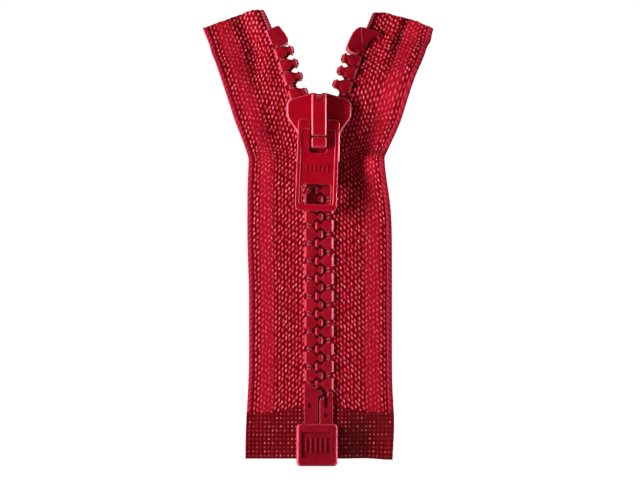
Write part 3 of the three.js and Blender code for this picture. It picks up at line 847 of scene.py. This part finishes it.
def clamped_piece(name, side, length, pattern):
    """A copy of the local pattern, clamped on the cord at the given length."""
    mesh = pattern.data.copy()
    obj = new_object(name, mesh)
    local = np.zeros(len(mesh.vertices) * 3, np.float32)
    mesh.vertices.foreach_get("co", local)
    local = local.reshape(-1, 3).astype(float)
    put_attribute(mesh, "local", local, "FLOAT_VECTOR")
    put_attribute(mesh, "length", np.full(len(local), length))
    mesh.vertices.foreach_set("co", (clamp_rest(side, length, local) * MM).astype(np.float32).ravel())
    mesh.update()
    add_bend(obj, clamp_trees[side])
    return obj


def scaled_piece(name, obj):
    """Turns a finished millimetre mesh into a piece in metres."""
    obj.data.transform(Matrix.Scale(MM, 4))
    obj.data.update()
    obj.name = name
    obj.data.name = name
    return obj


# ---------------------------------------------------------------- box and pins

def retainer_box():
    outline = rounded(BOX_LEFT, BOX_RIGHT, 0, BOX_TOP, 0.95)
    body = bevelled(prism_xz(outline, -BOX_HALF, BOX_HALF), 0.75, 3)
    inside = PIN_HALF_THICKNESS + 0.1
    minus(body, block(-3.5, -0.15, -inside, inside, 1.1, 12), block(0.04, 3.3, -inside, inside, 1.1, 12))
    minus(body, block(BOX_LEFT - 1, -3.4, -0.55, 0.55, 1.55, 12), block(3.2, BOX_RIGHT + 1, -0.55, 0.55,
          1.55, 12))
    floor = -BOX_HALF + 0.62
    minus(body, prism_xz(rounded(PANEL_LEFT, PANEL_RIGHT, PANEL_LOW, PANEL_HIGH, 0.3), -4, floor))
    cleaned(body)
    bevelled(body, 0.13, 2, 45)
    for i in range(5):
        x = PANEL_LEFT + (PANEL_RIGHT - PANEL_LEFT) * (i + 1) / 6
        rib = prism_xz(rounded(x - 0.2, x + 0.2, 3.2, 6.6, 0.19), floor - 0.36, floor + 0.2)
        plus(body, bevelled(rib, 0.12, 2))
    return smoothed(body)


def pin_keyhole(x, outer_sign):
    hole = prism_xy(ring(x, 0, 0.66, 0.66, 20), 1, 24)
    reach = x + outer_sign * 3
    return plus(hole, block(min(x, reach), max(x, reach), -0.42, 0.42, 1, 24))


def retaining_pin():
    head = 16.8
    outline = [(-3.4, 1.25), (-0.25, 1.25), (-0.25, head - 0.9), (-0.15, head - 0.5)]
    outline += arc(0.14, head, 0.6, 0.73, -105, 105, 10)
    outline += [(-0.15, head + 0.5), (-0.7, head + 0.75), (-1.25, 19.0), (-3.4, 19.0)]
    body = prism_xz(outline, -PIN_HALF_THICKNESS, PIN_HALF_THICKNESS)
    body = bevelled(body, 0.24, 3, 25)
    web = [(-1.9, 15.0), (-0.3, 15.0), (0.0, 15.45), (0.72, 15.6), (1.02, 16.2), (1.02, 17.3), (0.78, 17.8),
           (-0.6, 17.86), (-0.86, 18.0), (-1.03, 18.4), (-1.03, 19.4), (-1.34, 19.42), (-1.34, 19.53),
           (-1.9, 19.53)]
    plus(body, prism_xz(web, *web_depth(-1)), block(-1, 0.35, -0.4, 0.4, 1.3, 16.1))
    minus(body, pin_keyhole(-CORD_OFFSET, -1))
    minus(body, prism_xz(ring(-2.25, 13.9, 0.36, 0.56), -2, -PIN_HALF_THICKNESS + 0.7))
    return smoothed(cleaned(body))


def insertion_pin():
    outline = [(0.14, 1.55), (0.44, 1.25), (2.9, 1.25), (3.2, 1.55), (3.2, 16.6), (3.08, 16.95), (2.75,
               17.15),
               (2.4, 17.12), (2.1, 16.9), (1.98, 16.5), (1.98, 16.15), (1.24, 16.15), (1.0, 15.8),
               (0.75, 15.5), (0.34, 15.4), (0.14, 15.1)]
    body = bevelled(prism_xz(outline, -PIN_HALF_THICKNESS, PIN_HALF_THICKNESS), 0.24, 3, 25)
    plus(body, block(0.84, 2.2, *web_depth(1), 15.2, 17.45))
    minus(body, block(0, 0.45, -0.5, 0.5, 1, 16.3), pin_keyhole(CORD_OFFSET, 1))
    plus(body, block(0.45, 1.3, *web_depth(1), 15.0, 15.98))
    minus(body, prism_xz(rounded(1.24, 1.96, 13.3, 18.0, 0.34), -2, -0.2))
    minus(body, prism_xz(ring(1.5, 11.7, 0.42, 0.42), -2, -PIN_HALF_THICKNESS + 0.7))
    return smoothed(cleaned(body))


# ---------------------------------------------------------------- slider

def slider_outline():
    half = [(4.5, SLIDER_BOTTOM), (4.7, SLIDER_BOTTOM + 0.25), (4.75, SLIDER_BOTTOM + 0.7), (4.75, 75.2),
            (4.9, 76.2), (5.4, 77.4), (6.25, 78.6), (7.0, 79.65), (7.3, 80.3), (7.42, 81.1), (7.42, 82.9),
            (7.3, 83.6), (6.85, 84.2), (6.0, 84.6), (3.6, 85.2), (1.6, SLIDER_TOP)]
    return mirrored(half)


def slider_channel():
    return mirrored([(3.77, SLIDER_BOTTOM - 1), (3.62, SLIDER_BOTTOM + 0.6), (3.8, 73.4), (4.85, 77.4),
                     (6.05, 80.4), (6.5, 82.2), (7.2, 84.2), (8.2, 87.5)])


def slider_body():
    body = chamfered(prism_xz(slider_outline(), -WING_OUTER, WING_OUTER), 0.55, 40)
    minus(body, prism_xz(slider_channel(), -WING_INNER, WING_INNER))
    minus(body, block(-9, 9, -0.5, 0.5, SLIDER_BOTTOM - 2, SLIDER_TOP + 2))
    mouth = [(-WING_INNER, 83.9), (WING_INNER, 83.9), (2.25, 86.8), (-2.25, 86.8)]
    minus(body, prism_yz(mouth, -8, 8))
    bevelled(cleaned(body), 0.08, 2, 50)
    post = mirrored([(0.3, 80.3), (1.25, 82.4), (1.5, 83.4), (1.55, 84.0), (1.1, 85.3)])
    plus(body, prism_xz(post, -WING_INNER - 0.6, WING_INNER + 0.6))
    rear_front = -CAP_FRONT + 0.35
    rear = [(-1.95, 72.9), (-1.95, 75.55), (rear_front, 75.55), (rear_front, 74.2), (rear_front + 0.15, 73.6),
            (rear_front + 0.5, 73.15), (rear_front + 1.2, 72.9)]
    plus(body, bevelled(prism_yz(rear, -CAP_HALF_WIDTH, CAP_HALF_WIDTH), 0.42, 4, 25))
    front = [(-1.95, 83.95), (-1.95, 85.45), (-4.2, 85.7), (-5.0, 85.45), (-5.5, 84.9), (-5.72, 84.2),
             (-5.72, 83.95)]
    plus(body, bevelled(prism_yz(front, -0.72, 0.72), 0.15, 3, 25))
    minus(body, block(-0.95, 0.95, -2.6, -1.2, 76.4, 77.6))
    return smoothed(body)


def slider_cap():
    front, back = -CAP_FRONT, -WING_OUTER - 0.05
    profile = [(back, 75.75), (back, 85.9), (front + 1.7, 85.9), (front + 1.15, 85.8), (front + 0.6, 85.4),
               (front + 0.2, 84.8), (front, 84.0), (front, 76.4), (front + 0.12, 76.0), (front + 0.4, 75.75)]
    body = chamfered(prism_yz(profile, -CAP_HALF_WIDTH, CAP_HALF_WIDTH), 0.32, 50)
    minus(body, block(-1.05, 1.05, -CAP_CEILING, 0, 76.4, 84.0))
    minus(body, block(-3, 3, -3.95, 0, PIVOT_Z - 0.78, PIVOT_Z + 0.78))
    minus(body, prism_xz([(-0.86, 83.8), (0.86, 83.8), (0.86, 88), (-0.86, 88)], -9, 0))
    return smoothed(bevelled(cleaned(body), 0.06, 2, 50))


def lock_pawl():
    profile = [(-4.25, 83.6), (-4.25, 77.1), (-4.0, 76.82), (-3.0, 76.8), (-1.5, 76.85), (-1.36, 76.98),
               (-1.36, 77.12), (-1.5, 77.22), (-3.0, 77.35), (-3.7, 77.45), (-3.9, 77.7), (-3.9, 83.6)]
    return smoothed(bevelled(prism_yz(profile, -0.75, 0.75), 0.06, 2, 25))


def lock_spring():
    t = np.linspace(0, 1, 17)
    rise = 0.36 * np.sin(math.pi * t)
    outer = [(-4.46 - r, 77.6 + 5.6 * k) for r, k in zip(rise, t)]
    inner = [(-4.31 - r, 77.6 + 5.6 * k) for r, k in zip(rise, t)]
    return smoothed(bevelled(prism_yz(outer + inner[::-1], -0.6, 0.6), 0.04, 2, 40))


def pull_tab():
    plate = rounded(-4.75, 4.75, 58.7, PIVOT_Z + 0.7, 1.1)
    body = prism_xz(plate, PULL_FRONT, PULL_BACK)
    hub = [(PULL_BACK, 50), (PULL_BACK, 78.4), (-2.48, 79.1), (-2.56, 79.5), (-2.85, 79.8), (-3.45, 79.8),
           (-3.77, 79.5), (-3.85, 79.0), (-3.9, 78.2), (PULL_FRONT, 76.6), (PULL_FRONT, 50)]
    common(body, prism_yz(hub, -6, 6))
    chamfered(cleaned(body), 0.34, 50)
    minus(body, prism_xz(rounded(-2.05, 2.05, 71.9, 85, 0.8), -6, 0))
    minus(body, prism_xz(rounded(-3.3, 3.3, 60.2, 64.8, 0.7), -6, 0))
    floor = PULL_FRONT + 0.3
    minus(body, prism_xz(rounded(-3.9, 3.9, 60.0, 77.4, 0.55), -6, floor))
    cleaned(body)
    bevelled(body, 0.2, 1, 45)
    bevelled(body, 0.04, 1, 20)
    for i in range(6):
        x = (i - 2.5) * 0.95
        rib = prism_xz(rounded(x - 0.17, x + 0.17, 67.6, 69.2, 0.16, 3), floor - 0.2, floor + 0.15)
        plus(body, bevelled(rib, 0.06, 2, 60))
    bar = prism_yz(ring(PIVOT_Y, PIVOT_Z, 0.55, 0.55, 24), -2.6, 2.6)
    plus(body, bar)
    pivot = Matrix.Translation((0, PIVOT_Y, PIVOT_Z))
    body.data.transform(pivot @ Matrix.Rotation(PULL_ASKEW, 4, "Y") @ pivot.inverted())
    return smoothed(body)


# ---------------------------------------------------------------- materials

# Yarn colours. The darkest is painted shade for a line down the tape, the selvedge groove and the cord
# between teeth; the next darkest is painted shade between the loops and in the cord's twist; the pale pink is
# a painted highlight on the loops' crowns.
YARN_SHADOW = (0.035, 0.0, 0.0008, 1)
YARN_PAINTED_SHADE = (0.125, 0.0001, 0.0016, 1)
YARN = (0.415, 0.0055, 0.021, 1)
YARN_CROWN_HIGHLIGHT = (0.81, 0.19, 0.24, 1)
YARN_CORD = (0.50, 0.04, 0.07, 1)
YARN_EDGE_DEEP = (0.20, 0.0015, 0.008, 1)
YARN_EDGE = (0.40, 0.012, 0.033, 1)
SHINE_TINT = (1.0, 0.2, 0.28, 1)


def new_material(name):
    material = bpy.data.materials.new(name)
    material.use_nodes = True
    nodes = Nodes(material.node_tree)
    shader = material.node_tree.nodes["Principled BSDF"]
    return material, nodes, shader


def attribute(nodes, name):
    return nodes.add("ShaderNodeAttribute", attribute_name=name).outputs["Fac"]


def noise(nodes, scale, detail=3.0, vector=None, stretch=None):
    source = vector or nodes.add("ShaderNodeTexCoord").outputs["Object"]
    if stretch:
        source = nodes.vector("MULTIPLY", source, stretch)
    return nodes.add("ShaderNodeTexNoise", {"Vector": source, "Scale": scale, "Detail": detail}).outputs[0]


def bump(nodes, shader, height, strength, distance):
    node = nodes.add("ShaderNodeBump", {"Height": height, "Strength": strength, "Distance": distance})
    nodes.feed(shader.inputs["Normal"], node.outputs[0])
    return node


def cell(nodes, value, size):
    """Whole cell number and the offset from the cell's middle, in millimetres."""
    place = nodes.math("DIVIDE", value, size)
    number = nodes.math("FLOOR", place)
    offset = nodes.math("SUBTRACT", nodes.math("SUBTRACT", place, number), 0.5)
    return number, nodes.math("MULTIPLY", offset, size)


def ellipse(nodes, a, b, half_a, half_b):
    """Squared distance from the middle of an ellipse: 1 on its outline."""
    part_a = nodes.math("POWER", nodes.math("DIVIDE", nodes.math("ABSOLUTE", a), half_a), 2.0)
    part_b = nodes.math("POWER", nodes.math("DIVIDE", nodes.math("ABSOLUTE", b), half_b), 2.0)
    return nodes.math("ADD", part_a, part_b)


def chance(nodes, i, j):
    """Three repeatable random values for a cell."""
    node = nodes.add("ShaderNodeTexWhiteNoise", {"Vector": nodes.combine(i, j, 0.5)}, noise_dimensions="3D")
    return node.outputs["Value"], nodes.add("ShaderNodeSeparateXYZ", {0: node.outputs["Color"]}).outputs


def tape_material():
    """Knitted yarn: painted shade in the gaps between the loops, a painted highlight on their crowns,
    streaked with fibre.
    """
    material, nodes, shader = new_material("looped_tape")
    s, u = attribute(nodes, "s"), attribute(nodes, "weave_u")
    close, shade, cord, selvedge = (attribute(nodes, key) for key in ("close", "shade", "cord", "selvedge"))
    i, x = cell(nodes, u, WALE)
    j, y = cell(nodes, nodes.math("SUBTRACT", s, nodes.math("MULTIPLY", i, LOOP_STEP * COURSE)), COURSE)
    tone, (shift_a, shift_b, width) = chance(nodes, i, j)
    alternate = nodes.math("SUBTRACT", nodes.math("MULTIPLY", nodes.math("FLOORED_MODULO", i, 2.0), 2.0), 1.0)
    lean = nodes.math("MULTIPLY", close, nodes.math("SUBTRACT", alternate, 0.6))
    lean = nodes.math("MULTIPLY", nodes.math("ADD", lean, 0.6), math.tan(LOOP_TILT))
    lean = nodes.math("ADD", lean, nodes.math("MULTIPLY", nodes.math("SUBTRACT", shift_a, 0.5), 0.35))
    a = nodes.math("ADD", x, nodes.math("MULTIPLY", y, lean))
    a = nodes.math("ADD", a, nodes.math("MULTIPLY", nodes.math("SUBTRACT", shift_b, 0.5), 0.26))
    y = nodes.math("ADD", y, nodes.math("MULTIPLY", nodes.math("SUBTRACT", width, 0.5), 0.4))
    along_yarn = nodes.combine(nodes.math("MULTIPLY", a, 11.0), nodes.math("MULTIPLY", y, 1.5),
                               nodes.math("MULTIPLY", tone, 9.0))
    fibre = noise(nodes, 1.0, 3.0, along_yarn)
    slow = noise(nodes, 0.3, 2.0, nodes.combine(u, nodes.math("MULTIPLY", s, 0.45), 0.0))
    ragged = nodes.math("MULTIPLY", nodes.math("SUBTRACT", fibre, 0.5), 1.1)
    outline = nodes.math("ADD", ellipse(nodes, a, y, LOOP_HALF[0], LOOP_HALF[1]), ragged)
    body = nodes.smoothstep(outline, 1.25, 0.35)
    body = nodes.math("MAXIMUM", body, nodes.math("MULTIPLY", close, 0.55))
    # A small painted highlight on each loop's crown, of random strength.
    crown_highlight = nodes.math("ADD", ellipse(nodes, a, y, CROWN_HIGHLIGHT_HALF[0], CROWN_HIGHLIGHT_HALF[1]), ragged)
    crown_highlight = nodes.smoothstep(crown_highlight, 1.3, 0.3)
    strength = nodes.math("MULTIPLY", nodes.smoothstep(tone, 0.0, 0.9, 0.25, 1.0),
                          nodes.smoothstep(slow, 0.38, 0.62, 0.6, 1.0))
    strength = nodes.math("MULTIPLY", strength, nodes.smoothstep(close, 0.0, 1.0, 1.0, 0.5))
    crown_highlight = nodes.math("MULTIPLY", crown_highlight, strength)
    # Painted shade in the gaps between the loops, then the painted highlight on each crown.
    yarn = nodes.mix_color(YARN_PAINTED_SHADE, YARN, body)
    yarn = nodes.mix_color(yarn, YARN_CROWN_HIGHLIGHT, crown_highlight)
    # Painted shade in the troughs of the cord's twist.
    cord_yarn = nodes.mix_color(YARN_PAINTED_SHADE, YARN_CORD, nodes.smoothstep(cord, 0.3, 0.75))
    yarn = nodes.mix_color(yarn, cord_yarn, nodes.smoothstep(cord, 0.05, 0.3))
    stitch = nodes.math("SINE", nodes.math("ADD", nodes.math("MULTIPLY", s, 2 * math.pi / COURSE),
                                           nodes.math("MULTIPLY", u, 4.0)))
    edge_yarn = nodes.mix_color(YARN_EDGE_DEEP, YARN_EDGE, nodes.smoothstep(
        nodes.math("ADD", stitch, nodes.math("MULTIPLY", fibre, 1.5)), -0.6, 1.2))
    yarn = nodes.mix_color(yarn, edge_yarn, selvedge)
    yarn = nodes.mix_color(YARN_SHADOW, yarn, nodes.smoothstep(shade, 0.1, 1.0))
    nodes.feed(shader.inputs["Base Color"], yarn)
    shader.inputs["Roughness"].default_value = 0.7
    shader.inputs["Specular IOR Level"].default_value = 0.2
    shader.inputs["Specular Tint"].default_value = (1.0, 0.16, 0.22, 1)
    shader.inputs["Sheen Weight"].default_value = 0.06
    shader.inputs["Sheen Roughness"].default_value = 0.35
    shader.inputs["Sheen Tint"].default_value = (1.0, 0.2, 0.27, 1)
    bump(nodes, shader, nodes.math("ADD", nodes.math("MULTIPLY", body, 1.2), fibre), 0.55, 0.00007)
    return material


def film_material():
    """Film over the loops: dark and even, with rows of small pale dots of uneven strength."""
    material, nodes, shader = new_material("laminated_film")
    s, u = attribute(nodes, "s"), attribute(nodes, "weave_u")
    (i, x), (j, y) = cell(nodes, u, FILM_CELL[0]), cell(nodes, s, FILM_CELL[1])
    tone, (shift_a, shift_b, width) = chance(nodes, i, j)
    x = nodes.math("ADD", x, nodes.math("MULTIPLY", nodes.math("SUBTRACT", shift_a, 0.5), 0.1))
    dot = nodes.smoothstep(ellipse(nodes, x, y, 0.17, 0.22), 1.3, 0.4)
    column = noise(nodes, 1.0, 1.0, nodes.combine(nodes.math("MULTIPLY", i, 0.9), nodes.math("MULTIPLY",
                   j, 0.12), 3.0))
    strength = nodes.math("MULTIPLY", nodes.smoothstep(tone, 0.35, 1.0, 0.08, 1.0),
                          nodes.smoothstep(column, 0.35, 0.6, 0.35, 1.0))
    dot = nodes.math("MULTIPLY", dot, strength)
    patch = noise(nodes, 260.0, 2.0)
    grid = nodes.smoothstep(ellipse(nodes, x, y, 0.36, 0.42), 0.7, 1.6)
    ground = nodes.mix_color((0.12, 0.0004, 0.0022, 1), (0.20, 0.001, 0.005, 1), patch)
    ground = nodes.mix_color(ground, (0.06, 0.0002, 0.0006, 1), grid)
    nodes.feed(shader.inputs["Base Color"], nodes.mix_color(ground, (0.75, 0.17, 0.19, 1), dot))
    nodes.feed(shader.inputs["Roughness"], nodes.smoothstep(patch, 0.3, 0.7, 0.3, 0.5))
    shader.inputs["Specular IOR Level"].default_value = 0.3
    shader.inputs["Specular Tint"].default_value = (1.0, 0.2, 0.26, 1)
    shader.inputs["Coat Weight"].default_value = 0.03
    bump(nodes, shader, nodes.math("SUBTRACT", noise(nodes, 1500.0, 2.0), nodes.math("MULTIPLY", grid,
         0.5)), 0.3, 0.00006)
    return material


def edge_highlight_mask(nodes, left_highlight_share=1.0):
    """1 on the sloping edges between the front or back and the sides of a piece, in its own axes: where the
    painted edge highlight goes, weaker on edges that face left.
    """
    normal = nodes.add("ShaderNodeNewGeometry").outputs["Normal"]
    local = nodes.add("ShaderNodeVectorTransform", {0: normal}, vector_type="NORMAL", convert_from="WORLD",
                      convert_to="OBJECT").outputs[0]
    x, y, z = nodes.add("ShaderNodeSeparateXYZ", {0: local}).outputs
    depth = nodes.math("ABSOLUTE", y)
    sloping = nodes.math("MULTIPLY", nodes.smoothstep(depth, 0.95, 0.84), nodes.smoothstep(depth, 0.2, 0.4))
    across = nodes.math("POWER", nodes.math("ABSOLUTE", x), 2.0)
    upright = nodes.math("POWER", nodes.math("ABSOLUTE", z), 2.0)
    side = nodes.math("DIVIDE", across, nodes.math("ADD", nodes.math("ADD", across, upright), 0.0001))
    facing = nodes.math("MULTIPLY", nodes.smoothstep(side, 0.0, 0.6, 0.25, 1.0),
                        nodes.smoothstep(x, -0.3, 0.2, left_highlight_share, 1.0))
    return nodes.math("MULTIPLY", sloping, facing)


def moulded_material(name, color, deep, bright, roughness, left_highlight_share=1.0):
    """Moulded plastic: mottled colour, fine surface grain and a patchy painted highlight on the sloping side
    edges.
    """
    material, nodes, shader = new_material(name)
    cloud = noise(nodes, 420.0, 3.0)
    grain = noise(nodes, 5200.0, 2.0)
    body = nodes.mix_color(deep, color, nodes.smoothstep(cloud, 0.3, 0.62))
    # Painted highlight on the sloping side edges, made patchy by noise.
    painted_highlight = nodes.math("MULTIPLY", edge_highlight_mask(nodes, left_highlight_share),
                      nodes.smoothstep(noise(nodes, 900.0), 0.3, 0.65, 0.35, 1.0))
    nodes.feed(shader.inputs["Base Color"], nodes.mix_color(body, bright, painted_highlight))
    nodes.feed(shader.inputs["Roughness"], nodes.smoothstep(cloud, 0.25, 0.75, roughness - 0.05,
               roughness + 0.09))
    shader.inputs["Specular IOR Level"].default_value = 0.5
    shader.inputs["Specular Tint"].default_value = SHINE_TINT
    bump(nodes, shader, grain, 0.12, 0.00002)
    return material


def enamel_material():
    """Baked enamel over die-cast metal: deep even colour, clear gloss, and a thin painted highlight on the
    sloping side edges.
    """
    material, nodes, shader = new_material("red_enamel")
    cloud = noise(nodes, 260.0, 3.0)
    peel = noise(nodes, 1300.0, 2.0)
    body = nodes.mix_color((0.265, 0.0008, 0.006, 1), (0.31, 0.0016, 0.0095, 1), nodes.smoothstep(cloud,
                           0.3, 0.7))
    # Painted highlight on the sloping side edges, made patchy by noise.
    painted_highlight = nodes.math("MULTIPLY", edge_highlight_mask(nodes), nodes.smoothstep(noise(nodes, 700.0), 0.3, 0.65,
                      0.4, 0.95))
    nodes.feed(shader.inputs["Base Color"], nodes.mix_color(body, (0.80, 0.13, 0.20, 1), painted_highlight))
    nodes.feed(shader.inputs["Roughness"], nodes.smoothstep(peel, 0.3, 0.7, 0.2, 0.27))
    shader.inputs["Specular IOR Level"].default_value = 0.55
    shader.inputs["Specular Tint"].default_value = SHINE_TINT
    shader.inputs["Coat Weight"].default_value = 0.05
    shader.inputs["Coat Roughness"].default_value = 0.12
    bump(nodes, shader, peel, 0.06, 0.00003)
    return material


def steel_material():
    material, nodes, shader = new_material("spring_steel")
    streak = noise(nodes, 900.0, 3.0, stretch=(6.0, 6.0, 0.5))
    nodes.feed(shader.inputs["Base Color"], nodes.mix_color((0.33, 0.34, 0.35, 1), (0.6, 0.6, 0.61, 1),
               streak))
    nodes.feed(shader.inputs["Roughness"], nodes.smoothstep(streak, 0.3, 0.7, 0.25, 0.4))
    shader.inputs["Metallic"].default_value = 1.0
    bump(nodes, shader, streak, 0.15, 0.00003)
    return material


# ---------------------------------------------------------------- assembly

def fit(obj, body, node, material):
    obj.data.materials.clear()
    obj.data.materials.append(material)
    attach(obj, body)
    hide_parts(node)
    return obj


paths = {side: chain_path(side) for side in SIDES.values()}
sheets = {side: sheet_points(paths[side], side) for side in SIDES.values()}
sheet_trees, clamp_trees = {}, {}
for label, side in SIDES.items():
    s_rows, cord = paths[side][:2]
    along, outward, front = path_directions(s_rows, side, TOOTH_LEAN_SHARE)
    sheet, sheet_front = sheets[side]
    sheet_guide = guide_object(f"guide_sheet_{label}", sheet, {"front": sheet_front})
    rail_guide = guide_object(f"guide_rail_{label}", cord, {"along": along, "outward": outward,
                              "front": front})
    sheet_trees[side] = sheet_bend(f"bend_tape_{label}", side, sheet_guide, len(s_rows))
    clamp_trees[side] = clamp_bend(f"bend_teeth_{label}", side, rail_guide, len(s_rows))

TAPE = tape_material()
FILM = film_material()
# The third colour of each is its painted edge highlight; the tooth's 0.22 weakens it on edges facing left.
TOOTH = moulded_material("moulded_tooth", (0.27, 0.0022, 0.0095, 1), (0.20, 0.0015, 0.007, 1),
                         (0.80, 0.13, 0.19, 1), 0.32, 0.22)
MOULDED = moulded_material("moulded_box", (0.215, 0.0018, 0.0085, 1), (0.165, 0.0012, 0.006, 1),
                           (0.74, 0.085, 0.14, 1), 0.3)
ENAMEL = enamel_material()
STEEL = steel_material()

for label, side in SIDES.items():
    tooth_pattern = tooth_local(side)
    tape = tape_mesh(f"woven_tape_{label}", side, 3 + side)
    add_bend(tape, sheet_trees[side])
    fit(tape, "chain", f"{label}_tape", TAPE)
    for name, face in (("front", 1), ("back", -1)):
        film = film_mesh(f"film_strip_{label}_{name}", side, face)
        fit(film, "chain", f"{label}_film_{name}", FILM)
    for k in range(TEETH_PER_SIDE):
        node = f"tooth_{label}_{k + 1:02d}"
        tooth = clamped_piece(f"moulded_{node}", side, FIRST_TOOTH[label] + PITCH * k, tooth_pattern)
        fit(tooth, "chain", node, TOOTH)
    bpy.data.objects.remove(tooth_pattern)
    stop_pattern = stop_local(side)
    stop = clamped_piece(f"moulded_{label}_top_stop", side, STOP_LENGTH[label], stop_pattern)
    bpy.data.objects.remove(stop_pattern)
    fit(stop, "chain", f"{label}_top_stop", MOULDED)

for build, name, body, node, slot, material in (
        (retainer_box, "moulded_retainer_box", "chain", "retainer_box", "moulded", MOULDED),
        (retaining_pin, "moulded_retaining_pin", "chain", "retaining_pin", "moulded", MOULDED),
        (insertion_pin, "moulded_insertion_pin", "chain", "insertion_pin", "moulded", MOULDED),
        (slider_body, "enamelled_slider_body", "slider", "slider_body", "enamel", ENAMEL),
        (slider_cap, "enamelled_slider_cap", "slider", "slider_cap", "enamel", ENAMEL),
        (lock_pawl, "steel_lock_pawl", "lock", "lock_pawl", "steel", STEEL),
        (lock_spring, "steel_lock_spring", "lock", "lock_spring", "steel", STEEL),
        (pull_tab, "enamelled_pull_tab", "pull", "pull_tab", "enamel", ENAMEL)):
    fit(scaled_piece(name, build()), body, node, material)


# ---------------------------------------------------------------- studio

def area_light(name, place, target, width, height, power, color=(1, 1, 1)):
    lamp = bpy.data.lights.new(name, "AREA")
    lamp.shape = "RECTANGLE"
    lamp.size, lamp.size_y = width, height
    lamp.energy = power
    lamp.color = color
    obj = new_object(name, lamp)
    obj.location = place
    obj.rotation_euler = (Vector(target) - Vector(place)).to_track_quat("-Z", "Y").to_euler()
    obj.visible_camera = False
    return obj


def studio_world():
    world = bpy.data.worlds.new("studio")
    bpy.context.scene.world = world
    world.use_nodes = True
    nodes = Nodes(world.node_tree)
    background = world.node_tree.nodes["Background"]
    seen = nodes.add("ShaderNodeLightPath").outputs["Is Camera Ray"]
    nodes.feed(background.inputs["Strength"], nodes.smoothstep(seen, 0.0, 1.0, 0.06, 1.0))
    background.inputs["Color"].default_value = (1, 1, 1, 1)


def floor_material():
    material = bpy.data.materials.new("pale_floor")
    material.use_nodes = True
    nodes = Nodes(material.node_tree)
    matte = material.node_tree.nodes["Principled BSDF"]
    matte.inputs["Base Color"].default_value = (0.9, 0.9, 0.9, 1)
    matte.inputs["Roughness"].default_value = 0.9
    glow = nodes.add("ShaderNodeEmission", {"Color": (1, 1, 1, 1), "Strength": 1.06})
    seen = nodes.add("ShaderNodeLightPath").outputs["Is Camera Ray"]
    share = nodes.math("MULTIPLY", seen, 0.96)
    mixed = nodes.add("ShaderNodeMixShader", {0: share, 1: matte.outputs[0], 2: glow.outputs[0]})
    nodes.feed(material.node_tree.nodes["Material Output"].inputs["Surface"], mixed.outputs[0])
    return material


low, high = (np.array(corner) for corner in cad_box)
centre = (low + high) / 2
floor_size = 40 * (high[2] - low[2])
floor_level = low[2] - 0.0004
corners = [(x * floor_size, y * floor_size, floor_level) for x, y in ((-1, -1), (1, -1), (1, 1), (-1, 1))]
floor = mesh_of("floor", corners, [(0, 1, 2, 3)])
floor.data.materials.append(floor_material())
floor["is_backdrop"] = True

studio_world()
target = (0.0, 0.0, float(centre[2]))
hard_pieces = bpy.data.collections.new("hard_pieces")
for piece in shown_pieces():
    if not piece.name.startswith(("woven", "film")):
        hard_pieces.objects.link(piece)
area_light("key", (-0.43, -0.28, 0.10), target, 0.19, 0.30, 5.6)
for name, x, power in (("rim_left", -0.40, 1.2), ("rim_right", 0.40, 4.4)):
    rim = area_light(name, (x, 0.02, 0.06), target, 0.22, 0.42, power)
    rim.light_linking.receiver_collection = hard_pieces
area_light("side_fill", (0.52, 0.06, 0.10), target, 0.30, 0.40, 0.6)
area_light("back_fill", (0.16, 0.55, 0.16), target, 0.40, 0.40, 5.0)

LENS, SENSOR, FIELD_WIDTH = 400.0, 36.0, 0.1472
camera_data = bpy.data.cameras.new("camera")
camera_data.lens = LENS
camera_data.sensor_width = SENSOR
distance = LENS / SENSOR * FIELD_WIDTH
camera_data.clip_start, camera_data.clip_end = 0.05, 20.0
camera = new_object("camera", camera_data)
camera.location = (0.00023, -distance, 0.05198)
camera.rotation_euler = (math.radians(90), 0, 0)
bpy.context.scene.camera = camera
bpy.context.scene.view_settings.view_transform = "Standard"

bpy.context.view_layer.update()
